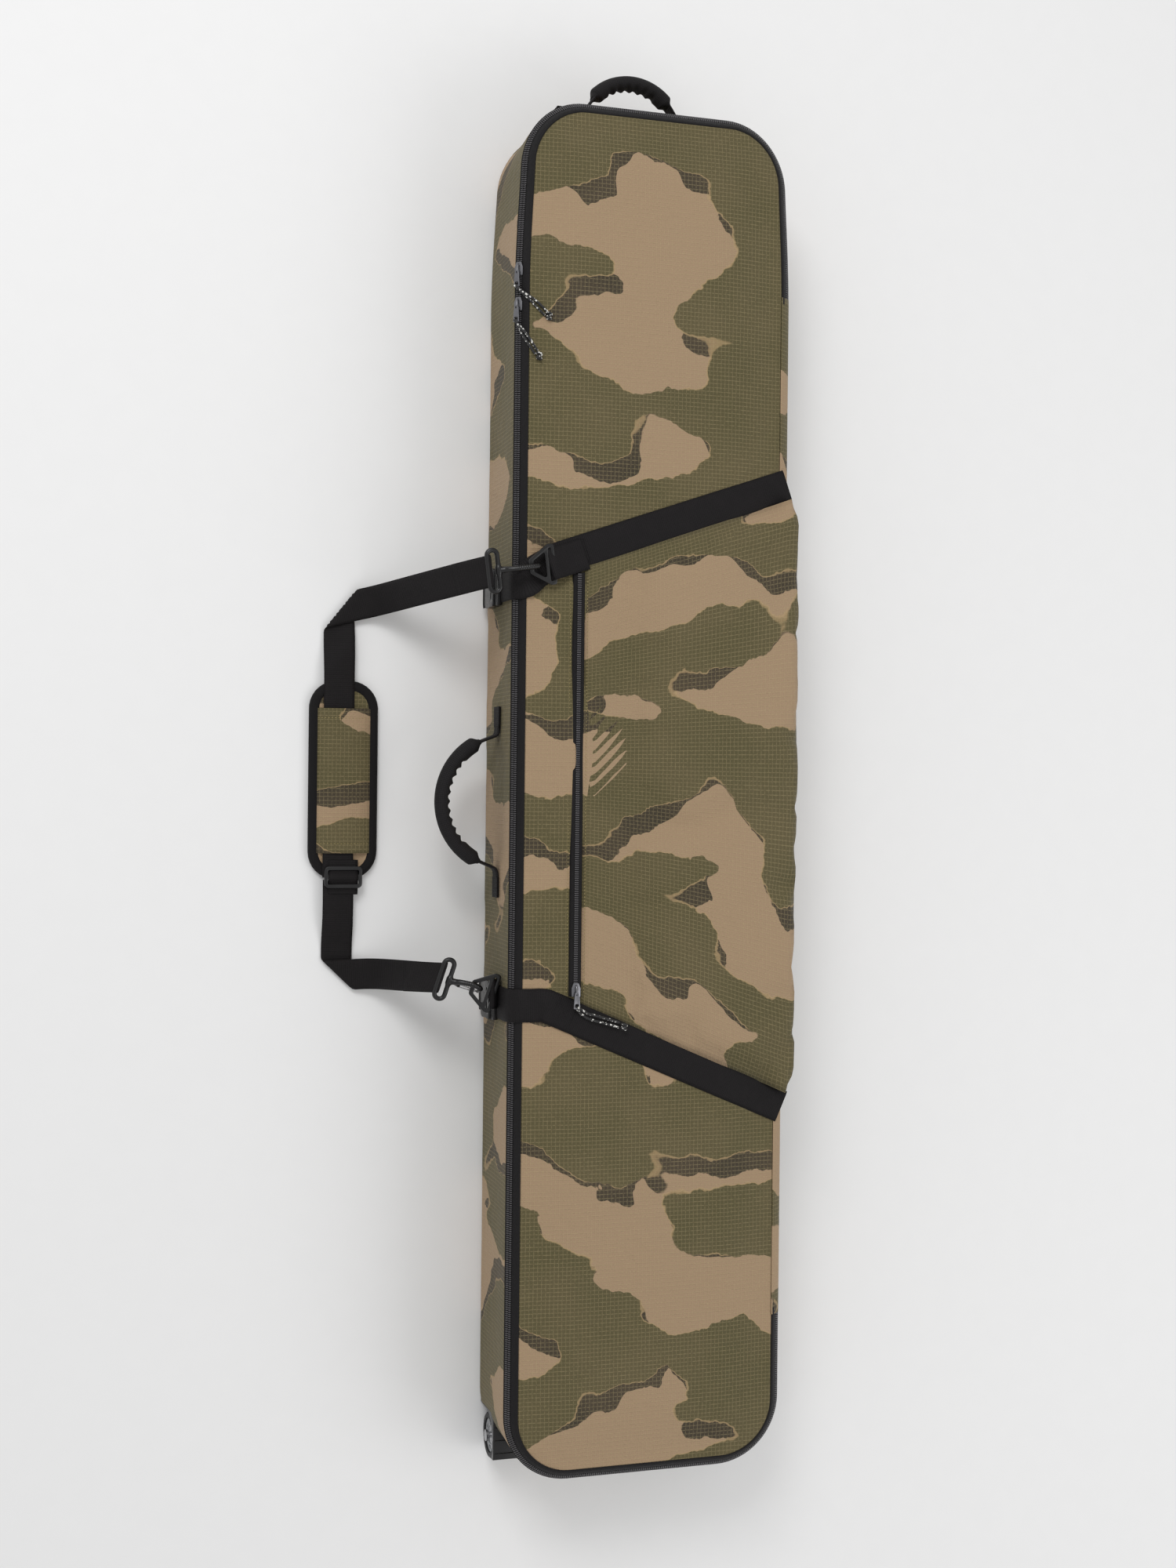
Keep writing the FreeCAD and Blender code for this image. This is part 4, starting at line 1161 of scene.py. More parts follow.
def make_lash_straps():
    """The two lash straps' webbing."""
    for name, strap in STRAPS.items():
        points, normals = lash_route(strap)
        middle = webbing_path(points, normals, STRAP_WIDTH)
        made = band(f"{name}_lash_webbing", middle, 2.2, [WEBBING])
        give(made, "lid", "webbing", f"{name}_lash_strap")


POCKET_LEFT = -91.5


def pocket_edges(x):
    """The pocket's lower and upper border at x, just inside the two lash straps."""
    halves = [STRAP_WIDTH / 2 * math.hypot(1, s["slope"]) - 2 for s in (STRAPS["lower"], STRAPS["upper"])]
    return strap_centre(STRAPS["lower"], x) + halves[0], strap_centre(STRAPS["upper"], x) - halves[1]


def make_pocket_cover():
    """The front pocket: a full cloth panel from its zip to the right edge, tucked under the straps."""
    section = [
        (POCKET_LEFT, 166.6), (-84, 167.3), (-50, 167.6), (-26, 168.4), (10, 173), (40, 175.5), (90, 177.5),
        (140, 178.5), (168, 178.5), (179.5, 176.5), (183.5, 171), (182, 165), (176, 161.8), (170, 161.6),
    ]
    section = smooth_path(section, 7.5, 2)
    rows = 72
    share = np.linspace(0, 1, rows)
    grid = np.zeros((rows, len(section), 3))
    for k, (x, z) in enumerate(section):
        low, high = pocket_edges(min(x, 172.0))
        y = low + (high - low) * share
        from_end = np.minimum(y - low, high - y)
        on_front = smooth_step((172 - x) / 30)
        floor = front_height(min(x, 165.0), y) + 0.6
        puffed = floor + (z - floor) * smooth_step(0.12 + from_end / 34)
        grid[:, k] = np.stack([np.full(rows, x), y, puffed * on_front + z * (1 - on_front)], 1)
        pull = (x - 168) * (1 - smooth_step(from_end / 30)) * (x > 168) * 0.75
        grid[:, k, 0] -= pull
    held = np.zeros(grid.shape[:2])
    held[:2] = held[-2:] = 1
    held[:, :2] = held[:, -2:] = 1
    held = np.maximum(held, 0.97 * smooth_step((-20 - grid[..., 0]) / 16))
    loose = (1 - held) * (0.25 + 0.75 * smooth_step((grid[..., 0] + 50) / 60))
    grid[..., 2] += 1.6 * noise_field(grid * np.array([0.7, 1, 0]), 120, 9.4, 2) * loose
    grid = settle_cloth("pocket_settling", grid, held, 0.022, 18, 5.0, 1.6, pressure=0.6)
    made = band("pocket_cover", grid, 1.6, [CAMO_POCKET])
    give(made, "lid", "camo_fabric", "pocket_panel", "pocket_gusset")


def make_pocket_zip():
    """The pocket's long zip: two tapes with a coil between them, on a sloped seat."""
    y = np.arange(-246.0, 265.0, 4.0)
    section = [(-106.2, 165.3), (-104, 166.6), (-100.5, 167), (-96, 167.6), (-93, 168.2), (-91.6, 167.6)]
    middle = np.array([[(x, level, z) for x, z in section] for level in y])
    made = band("pocket_zip_tape", middle, 1.3, [TAPE])
    give(made, "lid", "zip_tape", "pocket_zip")
    line = np.array([(-98.3, level, 168.3) for level in y])
    across = np.tile([1.0, 0, 0.1], (len(y), 1))
    out = np.tile([0.0, 0, 1], (len(y), 1))
    tooth_rows("pocket_zip_teeth", line, across, out, 5.0, "lid")


# ------------------------------------------------------------------ stitches and small outlines


STITCH_LIFT, STITCH_THICK = 0.35, 0.42


def stitch_rows(name, routes, body, material=None, pitch=4.2):
    """Dashed seam thread along routes of (points, normals), olive unless a material is given."""
    lift, thick = STITCH_LIFT, STITCH_THICK
    vertices, faces = [], []
    for points, normals in routes:
        points, normals = np.asarray(points, float), np.asarray(normals, float)
        along = arc_lengths(points)
        starts = np.arange(pitch * 0.3, along[-1] - pitch * 0.7, pitch)
        first, last = [resampled(points, along, where) for where in (starts, starts + pitch * 0.66)]
        up = resampled(normals, along, starts)
        side = np.cross(last - first, up)
        side /= np.maximum(np.linalg.norm(side, axis=1, keepdims=True), 1e-9)
        middle = (first + last) / 2
        corners = [
            first + up * (lift - 0.5),
            middle + side * thick + up * lift * 0.6,
            middle + up * (lift + thick),
            middle - side * thick + up * lift * 0.6,
            last + up * (lift - 0.5),
        ]
        base = len(vertices)
        block = np.stack(corners, 1).reshape(-1, 3)
        vertices.extend(block.tolist())
        for k in range(len(starts)):
            o = base + 5 * k
            faces += [(o, o + 1, o + 2), (o, o + 2, o + 3), (o + 4, o + 2, o + 1), (o + 4, o + 3, o + 2)]
            faces += [(o, o + 3, o + 1), (o + 4, o + 1, o + 3)]
    made = new_piece(name, vertices, faces, [material or THREAD], smooth=False)
    give(made, body, "camo_fabric" if material is None else "webbing")


def rounded_polygon(corners, radius, steps=5):
    """A polygon's outline with its corners rounded."""
    points = []
    for k, corner in enumerate(corners):
        here = Vector(corner)
        before = (Vector(corners[k - 1]) - here).normalized()
        after = (Vector(corners[(k + 1) % len(corners)]) - here).normalized()
        step = radius / math.tan(before.angle(after) / 2)
        start, end = here + before * step, here + after * step
        for t in np.linspace(0, 1, steps):
            points.append(tuple(start * (1 - t) ** 2 + here * 2 * t * (1 - t) + end * t**2))
    return points


def sunk(place, depth):
    """A placement moved down its own Z, so that a plate is centred on it."""
    return place @ Matrix.Translation((0, 0, -depth * MM))


def in_place(place, points):
    """Local points in millimetres, moved to their place in the bag's frame."""
    return [tuple((place @ (Vector(p) * MM)) / MM) for p in points]


# ------------------------------------------------------------------ the shoulder strap's ends

RING_LINE = {"upper": Vector((-133, 270, 173.5)), "lower": Vector((-186.5, -246, 118))}
LOOP_LINE = {"upper": Vector((-211, 258, 171)), "lower": Vector((-252, -226, 113))}
HOOK_TURN = {"upper": 0.0, "lower": 30.0}  # the lower hook leans over on its ring
MOUTH = -9.0  # how low the hook's open side reaches


def strap_place(end, turn=0.0):
    """At a ring's bar: local X runs to the loop, local Y along the bars, local Z up before the turn."""
    start, finish = RING_LINE[end], LOOP_LINE[end]
    placed = place_at(start, finish - start, LOOP_LINE["lower"] - LOOP_LINE["upper"])
    return placed @ Matrix.Rotation(math.radians(turn), 4, "X")


def make_ring(end):
    """A moulded triangular ring: webbing slot at its wide end, hook hole at its narrow end."""
    corners = [(-2.6, -24.5), (5, -24.5), (29.5, -8.5), (29.5, 8.5), (5, 24.5), (-2.6, 24.5)]
    outline = rounded_polygon(corners, 4.5)
    slot = rounded_polygon([(1.7, -20), (5.0, -19.5), (5.0, 19.5), (1.7, 20)], 1.2, 3)
    hole = rounded_polygon([(9.4, -16), (24.2, -6.4), (24.2, 6.4), (9.4, 16)], 2.6)
    place = strap_place(end)
    ring = plate(f"{end}_ring", [outline, slot, hole], 4.0, PLASTIC, sunk(place, 2.0), 1.2)
    give(ring, "strap_ends", "black_plastic", f"{end}_strap_ring")


def make_hook(end):
    """A snap hook with a ridged back, a swivel barrel and a sprung wire gate."""
    place = strap_place(end, HOOK_TURN[end])
    reach = (LOOP_LINE[end] - RING_LINE[end]).length
    root = reach - 22
    spine = [
        (18.6, 0, MOUTH + 0.6), (17.2, 0, -2), (18.2, 0, 5.6), (26, 0, 9.3),
        (root - 14, 0, 8.8), (root - 3, 0, 6.0), (root + 2, 0, 1.5), (root + 9, 0, 0),
    ]
    back = smooth_path(spine, 0.7, 3)
    share = np.linspace(0, 1, len(back))
    swell = 1.9 + 1.3 * smooth_step(share * 4) + 0.9 * smooth_step(share * 3 - 2)
    ridges = 0.28 * np.sin(share * 150) * (share > 0.22) * (share < 0.62)
    sideways = place.col[1][:3]
    body = rod(f"{end}_hook_back", in_place(place, back), swell + ridges, [PLASTIC], 14, sideways)
    jaw = smooth_path([(root + 3, 0, 0.5), (root - 1, 0, -4), (root - 4, 0, MOUTH + 1)], 0.8, 2)
    thinning = np.linspace(3.6, 2.2, len(jaw))
    lower = rod(f"{end}_hook_jaw", in_place(place, jaw), thinning, [PLASTIC], 12, sideways)
    barrel_path = [(root + 5 + 0.8 * k, 0, 0) for k in range(9)]
    widths = [3.2, 4.3, 4.5, 4.1, 4.5, 4.1, 4.5, 4.2, 2.6]
    barrel = rod(f"{end}_hook_barrel", in_place(place, barrel_path), widths, [PLASTIC], 16, sideways)
    whole = joined(f"{end}_hook", [body, lower, barrel])
    give(whole, f"{end}_hook", "black_plastic", f"{end}_snap_hook")
    leg = [(root - 3, 1.5, -7.4), (root - 14, 1.4, -8), (22, 1.1, -8.4)]
    other_leg = [(x, -y, z) for x, y, z in reversed(leg)]
    wire = smooth_path(leg + [(19.6, 0, -8.5)] + other_leg, 0.9, 2)
    gate = rod(f"{end}_gate_wire", in_place(place, wire), 0.75, [STEEL], 8, up=place.col[2][:3])
    give(gate, f"{end}_gate", "steel", f"{end}_hook_gate")


def make_loop(end):
    """The oval loop that holds the shoulder webbing, thicker round the swivel."""
    place = strap_place(end)
    reach = (LOOP_LINE[end] - RING_LINE[end]).length
    outline = rounded_loop(6.2, 24.6, 6.1, (reach - 5.75, 0), 9)
    path = smooth_path([(x, y, 0) for x, y in outline], 1.1, 1, closed=True)
    near = smooth_step(1.5 - np.abs(path[:, 1]) / 5) * (path[:, 0] < reach - 6)
    radius = 2.9 + 1.3 * near
    loop = rod(f"{end}_loop", in_place(place, path), radius, [PLASTIC], 12, place.col[2][:3], closed=True)
    give(loop, "strap_ends", "black_plastic", f"{end}_webbing_loop")


def ribbon(points, across, width, spacing=2.2):
    """The middle surface of webbing whose width always points the same way."""
    path = smooth_path(points, spacing)
    direction = np.array(across, float) / np.linalg.norm(across)
    return path[:, None] + direction * np.linspace(-width / 2, width / 2, BAND_COLUMNS)[None, :, None]


def make_ring_tabs():
    """The webbing ends that hold the two rings to the lash straps."""
    along = Vector((1, STRAPS["upper"]["slope"], 0)).normalized()
    bar = RING_LINE["upper"]
    section = [
        (44, -7.0), (30, -6.6), (14, -4.4), (4, -3.4), (-2.6, -3.6), (-5.2, 0),
        (-2.6, 3.4), (4, 2.2), (14, -1.6), (30, -4.6), (44, -5.0),
    ]
    points = [bar + along * s + Vector((0, 0, h)) for s, h in section]
    made = band("upper_ring_tab", ribbon(points, (-along.y, along.x, 0), 38), 1.7, [WEBBING])
    give(made, None, "webbing")
    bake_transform(made)
    bar = RING_LINE["lower"]
    section = [
        (9, -22), (7.4, -12), (5.4, -5), (1.5, 1.4), (-2.2, 3.5),
        (-4.9, 0), (-2.4, -3.5), (1.2, -4.6), (4.3, -12), (5.6, -22),
    ]
    points = [bar + Vector((x, 0, z)) for x, z in section]
    made = band("lower_ring_tab", ribbon(points, (0, 1, 0), 36), 1.5, [WEBBING])
    give(made, None, "webbing")
    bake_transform(made)


# ------------------------------------------------------------------ shoulder webbing, pad and adjuster

SHOULDER_WIDTH = 38.0
PAD_CENTRE = (-353.0, 10.5)
FOLD_ROLL = 2.6
SKEW_REACH = 45.0  # the webbing turns from square on its loop to its own heading in this distance
TAIL_ROWS = 10


def folded_webbing(end, heading, after, far_y, slope):
    """Webbing from a loop down to the ground, folded over at a corner and on along the pad to far_y."""
    start = np.array(LOOP_LINE[end])[:2]
    bars = np.array(strap_place(end).col[1][:3])
    heading = np.array(heading) / np.linalg.norm(heading)
    sideways = np.array([-heading[1], heading[0]])
    bars *= np.sign(bars[:2] @ sideways)
    after = np.array(after, float)
    to_corner = (PAD_CENTRE[0] - start[0]) / heading[0]
    corner = start + heading * to_corner
    crease = (heading + after) / np.linalg.norm(heading + after)
    forward = np.array([-crease[1], crease[0]])
    forward *= np.sign(forward @ heading)
    total = to_corner + abs(far_y - corner[1]) + (math.pi - 2) * FOLD_ROLL
    s = np.append(np.arange(0.5, total - 1, 3.5), total)
    t = np.linspace(-SHOULDER_WIDTH / 2, SHOULDER_WIDTH / 2, 11)
    skew = smooth_step(1 - s / SKEW_REACH)[:, None]
    lateral = sideways + (bars[:2] - sideways) * skew
    flat = start + heading * s[:, None, None] + lateral[:, None] * t[None, :, None]
    beyond = (flat - corner) @ forward
    turn = np.clip(beyond / FOLD_ROLL, 0, math.pi)
    rolled = FOLD_ROLL * np.sin(turn) - beyond
    past = np.maximum(beyond - math.pi * FOLD_ROLL, 0)
    flat = flat + forward * (np.where(beyond > 0, rolled - past, 0))[..., None]
    before_height = np.interp(s, *zip(*slope))[:, None] + bars[2] * t * skew
    for _ in range(6):
        before_height[1:-1] = (before_height[:-2] + before_height[2:]) / 2
    after_height = np.interp(np.abs(flat[..., 1] - PAD_CENTRE[1]), [152, 180, 205], [11.0, 9.0, 4.0])
    lowered = before_height - FOLD_ROLL * (1 - np.cos(turn))
    landed = smooth_step(past / 40)
    height = lowered * (1 - landed) + after_height * landed
    wave = 0.8 * np.sin(s / 23)[:, None] * (landed > 0) * (height.max(1, keepdims=True) < 12)
    middle = np.concatenate([flat, (height + wave)[..., None]], -1)
    strip = band(f"{end}_shoulder_strip", middle, 1.7, [WEBBING])
    give(strip, "shoulder_strap", "webbing", f"{end}_shoulder_webbing")

    # the sewn end of the webbing comes back round the loop's bar on top of the strip
    normals = grid_normals(middle)
    normals *= np.sign(normals[..., 2:])
    top = (middle + normals * 2.1)[:TAIL_ROWS][::-1]
    bar = np.array(LOOP_LINE[end])
    inwards = np.append(-heading, 0)
    around = []
    for angle in np.radians([62, 30, 0, -30, -62]):
        shift = inwards * math.cos(angle) + np.array([0, 0, 1]) * math.sin(angle)
        around.append(bar + bars * t[:, None] + shift * 3.9)
    tail = np.concatenate([top, around, (middle - normals * 1.9)[:2]])
    made = band(f"{end}_webbing_end", tail, 1.5, [WEBBING])
    give(made, None, "webbing")
    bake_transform(made)
    sewn = TAIL_ROWS - 2
    seam = [(middle[sewn] + normals[sewn] * 2.8, normals[sewn])]
    stitch_rows(f"{end}_webbing_stitches", seam, "shoulder_strap", material=BLACK_THREAD)


def make_shoulder_webbing():
    """Both lengths of the shoulder webbing; a slope is (distance from the loop, height)."""
    upper_slope = [(0, 169), (14, 158), (40, 122), (70, 76), (95, 34), (108, 15)]
    upper_slope += [(118, 8.8), (140, 7.4), (400, 7.4)]
    folded_webbing("upper", (-0.9725, -0.233), (0, -1), -112, upper_slope)
    lower_slope = [(0, 111), (8, 103), (24, 79), (42, 46), (58, 19), (68, 10)]
    lower_slope += [(80, 7.6), (100, 7.2), (400, 7.2)]
    folded_webbing("lower", (-0.9985, -0.05), (0, 1), -110, lower_slope)


def pad_rings(profile, half_x, half_y, radius):
    """Rings of a rounded pad: each row is (inset, height)."""
    rows = []
    for inset, height in profile:
        loop = rounded_loop(half_x - inset, half_y - inset, max(radius - inset, 4), PAD_CENTRE, 12)
        path = smooth_path([(x, y, height) for x, y in loop], 6, 1, closed=True)
        along = np.linspace(0, len(path), 97)[:-1]
        whole = np.vstack([path, path[:1]])
        rows.append(resampled(whole, np.arange(len(whole)), along))
    return np.array(rows)


def make_pad():
    """The shoulder pad: foam in ripstop with a bound edge, and a sleeve that the webbing runs through."""
    profile = [
        (30, 0.3), (8, 0.2), (1.5, 0.8), (-0.4, 3.0), (-0.4, 6.4), (1.4, 9.0),
        (5, 10.0), (9.4, 9.7), (10.8, 8.2), (11.6, 8.0), (20, 8.6), (34, 9.2),
    ]
    rings = pad_rings(profile, 42.5, 122.5, 34)
    rings[10:, :, 2] += 0.5 * noise_field(rings[10:], 22, 1.7, 2)
    kinds = [1] * 9 + [0] * 3
    finishes = [CAMO_SLEEVE, BINDING]
    pad = sheet_piece("shoulder_pad_foam", rings, finishes, plan_uv(rings), kinds, wrap_columns=True)
    close_ends(pad)
    give(pad, "pad", "camo_fabric", "shoulder_pad")
    slope = [(34, 8.6), (30, 10.4), (23, 13.4), (12, 15.0)]
    section = smooth_path([(-x, z) for x, z in slope] + [(0, 15.2)] + slope[::-1], 3.4, 1)
    y = np.linspace(-80, 99, 46)
    middle = np.array([[(PAD_CENTRE[0] + x, level, z) for x, z in section] for level in y])
    soft = smooth_step(1 - np.abs(np.linspace(-1, 1, len(section))))[None]
    middle[..., 2] += 0.9 * noise_field(middle, 30, 4.4, 2) * soft
    sleeve = band("pad_sleeve_cloth", middle, 1.1, [CAMO_SLEEVE])
    give(sleeve, "pad", "camo_fabric", "pad_sleeve")
    seams = []
    for level in (-70, 89):
        row = int(np.argmin(np.abs(y - level)))
        seams.append((middle[row] + np.array([0, 0, 0.6]), np.tile([0.0, 0, 1], (len(section), 1))))
    stitch_rows("pad_sleeve_stitches", seams, "pad")


def make_adjuster():
    """A three-bar slide with the webbing threaded over its middle bar."""
    x, y, z = PAD_CENTRE[0], -109.5, 12.7
    place = place_at((x, y, z), (1, 0, 0), (0, 1, 0))
    outline = rounded_loop(23.5, 13.5, 5.5)
    holes = [rounded_loop(19.2, 3.1, 1.4, (0, at), 3) for at in (-5.6, 5.6)]
    frame_piece = plate("adjuster_slide_frame", [outline] + holes, 4.2, PLASTIC, place, 1.2)
    give(frame_piece, "adjuster", "black_plastic", "strap_adjuster")
    over_bar = [
        (-88, 12.4), (-98, 12.8), (-104, 14.4), (-107, 17.4),
        (-112, 17.4), (-115, 14.4), (-121, 12.6), (-131, 11.8),
    ]
    run = [(x, level, height) for level, height in over_bar]
    threaded = band("adjuster_webbing", ribbon(run, (1, 0, 0), 37), 1.5, [WEBBING])
    give(threaded, "adjuster", "webbing")


# ------------------------------------------------------------------ carrying handles

HANDLES = {
    "top_handle": dict(centre=(-22, 812), wall=830, radius=62, height=110, grip=44, tabs=(56, -100)),
    "side_handle": dict(centre=(-14, 165), wall=176, radius=81, height=90, grip=57, tabs=(83, -112)),
}


def handle_point(name, along, out, up=0.0):
    """A point of a handle from its place along the wall, out from the bag's middle and above its height."""
    height = HANDLES[name]["height"] + up
    return (along, out, height) if name == "top_handle" else (-out, along, height)


RIDGE_PITCH = 12.5


def make_handle_grip(name):
    """A soft grip in woven cloth with finger ridges on its inner side."""
    handle = HANDLES[name]
    (along, out), radius, sweep = handle["centre"], handle["radius"], math.radians(handle["grip"] + 7)
    stations = np.linspace(-sweep, sweep, 90)
    angles = np.linspace(0, math.tau, 25)[:-1]
    end = smooth_step((sweep - np.abs(stations)) / 0.11)
    ridge = (0.5 - 0.5 * np.cos(stations * radius / RIDGE_PITCH * math.tau)) ** 0.7
    ridge *= smooth_step((sweep * 0.72 - np.abs(stations)) / 0.1)
    grid = np.zeros((len(stations), len(angles), 3))
    for k, angle in enumerate(stations):
        half_depth = 3.4 + 6.2 * end[k]
        half_width = 10.4 + 2.4 * end[k]
        for j, turn in enumerate(angles):
            outwards = half_depth * math.cos(turn)
            if outwards < 0:
                outwards *= 1 - 0.34 * ridge[k]
            reach = radius + outwards
            place = along + reach * math.sin(angle), out + reach * math.cos(angle)
            grid[k, j] = handle_point(name, *place, half_width * math.sin(turn))
    distance = stations * radius
    around = np.append(angles, math.tau) * 9.5
    made = sheet_piece(name + "_sleeve", grid, [GRIP], strip_uv(around, distance), wrap_columns=True)
    close_ends(made)
    give(made, name, "grip", name + "_grip", name + "_webbing")


def make_handle_ends(name):
    """The webbing at both ends of a handle, sewn flat to the bag and turning out into the grip."""
    handle = HANDLES[name]
    (along, out), radius, wall = handle["centre"], handle["radius"], handle["wall"]
    for side, tab in zip((1, -1), handle["tabs"]):
        angle = math.radians(handle["grip"] + 4)
        meet = (along + side * radius * math.sin(angle), out + radius * math.cos(angle))
        steep = math.radians(handle["grip"] + 13)
        near = (along + side * radius * math.sin(steep), out + radius * math.cos(steep))
        foot = tab - side * 14
        route = [
            (tab + side * 19, wall + 1.9),
            (tab + side * 6, wall + 1.9),
            (foot, wall + 2.4),
            ((foot + near[0]) / 2, max(wall + 6, (wall + near[1]) / 2 - 2)),
            near,
            meet,
        ]
        points = [handle_point(name, a, v) for a, v in route]
        which = "a" if side > 0 else "b"
        made = band(f"{name}_end_{which}", ribbon(points, (0, 0, 1), 22), 3.2, [WEBBING])
        give(made, None, "webbing", *(["handle_anchor_tabs"] if name == "side_handle" and side > 0 else []))
        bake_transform(made)
        patch = [handle_point(name, tab + side * u, wall + 3.3) for u in (19, 10, 0, -6)]
        sewn = band(f"{name}_patch_{which}", ribbon(patch, (0, 0, 1), 26, 4), 1.0, [WEBBING])
        give(sewn, "shell", "webbing")


# ------------------------------------------------------------------ lash buckles


def make_lash_buckles():
    """Side-release buckles on the left side: tongue above, socket below, and the webbing that holds it."""
    tongues, sockets, anchors = [], [], []
    for name, strap in STRAPS.items():
        y = strap["side"]
        face = side_place(-1, 177.4, y)
        bar = rounded_polygon([(-23, 93), (23, 93), (23, 105), (-23, 105)], 3.5)
        slot = rounded_polygon([(-19.5, 98.2), (19.5, 98.2), (19.5, 101.4), (-19.5, 101.4)], 1.2, 3)
        tongues.append(plate(f"{name}_tongue", [bar, slot], 6.2, PLASTIC, face, 1.4))
        for side in (-1, 1):
            corners = [(10, 80), (18.5, 80), (19.5, 86), (18, 95), (10, 95)]
            prong = rounded_polygon([(side * x, z) for x, z in corners], 1.8)
            raised = face @ Matrix.Translation((0, 0, 1.4 * MM))
            tongues.append(plate(f"{name}_prong_{side + 1}", [prong], 3.0, PLASTIC, raised, 0.7))
        edge = [(20, 52), (23.5, 58), (22.5, 74), (23.5, 91)]
        case = rounded_polygon([(-20, 52)] + edge + [(-x, z) for x, z in edge[:0:-1]], 4)
        window = rounded_polygon([(-16, 79), (16, 79), (14, 84), (-14, 84)], 1.5, 3)
        sockets.append(plate(f"{name}_socket", [case, window], 8.6, PLASTIC, face, 2.0))
        points = [(-178.4, y, 14), (-178.2, y, 30), (-178.4, y, 46), (-180.5, y, 55)]
        anchors.append(band(f"{name}_anchor", ribbon(points, (0, 1, 0), 39), 1.8, [WEBBING]))
    give(joined("buckle_tongues", tongues), "lid", "black_plastic", "lash_buckle_tongues")
    give(joined("buckle_sockets", sockets), "shell", "black_plastic", "lash_buckle_sockets")
    give(joined("buckle_anchors", anchors), "shell", "webbing", "buckle_anchor_webbing")


# ------------------------------------------------------------------ zip sliders and pulls


def slider_place(y, distance):
    """On the main zip at y: local X up the slope, local Y along the zip, local Z outwards."""
    inset, height = bevel(distance)
    x = float(taper(np.array([[-HALF_WIDTH + inset, y, height]]))[0, 0])
    return place_at((x, y, height), (1, 0, 1), (0, 1, 0))


def build_slider(name, place, lift, body, pull_body, node, tab_node):
    """A metal slider with a bridge, and its pull tab."""
    shape = rounded_polygon([(-5.4, -8.5), (5.4, -8.5), (5.6, 2), (3.2, 8.5), (-3.2, 8.5), (-5.6, 2)], 1.8)
    top = plate(name + "_plate", [shape], 2.2, GUNMETAL, sunk(place, -lift), 0.7)
    arch = [(-6.5, 2), (-6.2, 4.6), (-1, 5.2), (4.5, 3.8), (5.5, 2)]
    arch = smooth_path([(0, along, lift + height) for along, height in arch], 0.8, 2)
    bridge = rod(name + "_bridge", in_place(place, arch), 1.15, [GUNMETAL], 10, place.col[0][:3])
    give(joined(name + "_body", [top, bridge]), body, "slider_metal", node)
    corners = [(-4.2, -22.5), (4.2, -22.5), (3.2, -8), (2.2, -2.5), (-2.2, -2.5), (-3.2, -8)]
    outline = rounded_polygon(corners, 1.6)
    hole = rounded_polygon([(-2.4, -20.8), (2.4, -20.8), (2.2, -16.4), (-2.2, -16.4)], 1.0, 3)
    eye = rounded_polygon([(-1.3, -6.2), (1.3, -6.2), (1.1, -3.9), (-1.1, -3.9)], 0.5, 3)
    tab = plate(name + "_tab", [outline, hole, eye], 1.7, GUNMETAL, sunk(place, -(lift + 4.9)), 0.4)
    give(tab, pull_body, "slider_metal", tab_node)


def make_sliders():
    """The two sliders of the main zip and the pocket's one."""
    for name, y in (("upper", 623), ("lower", 581)):
        slider, nodes = f"{name}_slider", (f"{name}_main_slider", f"{name}_main_pull_tab")
        build_slider(slider, slider_place(y, PARTING), 0.6, slider, f"{name}_pull", *nodes)
    place = place_at((-98.2, -238, 167.6), (1, 0, 0), (0, 1, 0))
    nodes = ("pocket_slider", "pocket_pull_tab")
    build_slider("pocket_zip_slider", place, 0.9, "pocket_slider", "pocket_pull", *nodes)


# ------------------------------------------------------------------ wheels

WHEEL_Y, WHEEL_Z, TYRE_RADIUS, HUB_RADIUS = -809.0, 31.0, 29.0, 21.0
TREADS = 30
TYRE_MIDDLE = 152
SPOKES = 6


def make_wheel(side):
    """A rubber tyre with a tread, and a spoked hub."""
    name = "left_wheel" if side < 0 else "right_wheel"
    section = [(139, 21.2), (139, 26.5), (141.5, 28.6), (146, 29), (151, 28.9)]
    section += [(2 * TYRE_MIDDLE - x, radius) for x, radius in section[::-1]]
    section.insert(5, (TYRE_MIDDLE, 28.4))
    angles = np.linspace(0, math.tau, TREADS * 8 + 1)[:-1]
    grid = np.zeros((len(section), len(angles), 3))
    for k, (x, radius) in enumerate(section):
        stagger = 0.5 if x > TYRE_MIDDLE else 0.0
        phase = (angles * TREADS / math.tau + stagger + abs(x - TYRE_MIDDLE) * 0.03) % 1
        r = radius - 1.3 * (phase < 0.28) * (141 < x < 163)
        y, z = WHEEL_Y + r * np.cos(angles), WHEEL_Z + r * np.sin(angles)
        grid[k] = np.stack([np.full(len(angles), side * x), y, z], 1)
    around = np.append(angles, math.tau) * TYRE_RADIUS
    uv = lambda r, c: np.stack([around[c], r * 4.0], -1)
    tyre = sheet_piece(name + "_tread", grid, [RUBBER], uv, wrap_rows=True, wrap_columns=True)
    outward(tyre)
    sharpen(tyre, 30)
    give(tyre, name, "tyre", name + "_tyre")
    polar = lambda radius, angle: (radius * math.cos(angle), radius * math.sin(angle))
    circle = lambda radius, count: [polar(radius, a) for a in np.linspace(0, math.tau, count + 1)[:-1]]
    windows = []
    for middle in np.arange(SPOKES) * math.tau / SPOKES:
        corners = [(13, -0.24), (18.6, -0.34), (18.6, 0.34), (13, 0.24)]
        windows.append(rounded_polygon([polar(radius, middle + a) for radius, a in corners], 1.2, 4))
    outlines = [circle(HUB_RADIUS, 64), circle(11, 32)] + windows
    hub = plate(name + "_spokes", outlines, 22, HUB, side_place(side, 141, WHEEL_Y, WHEEL_Z), 0.8)
    outward(hub)
    sharpen(hub)
    give(hub, name, "hub", name + "_hub")


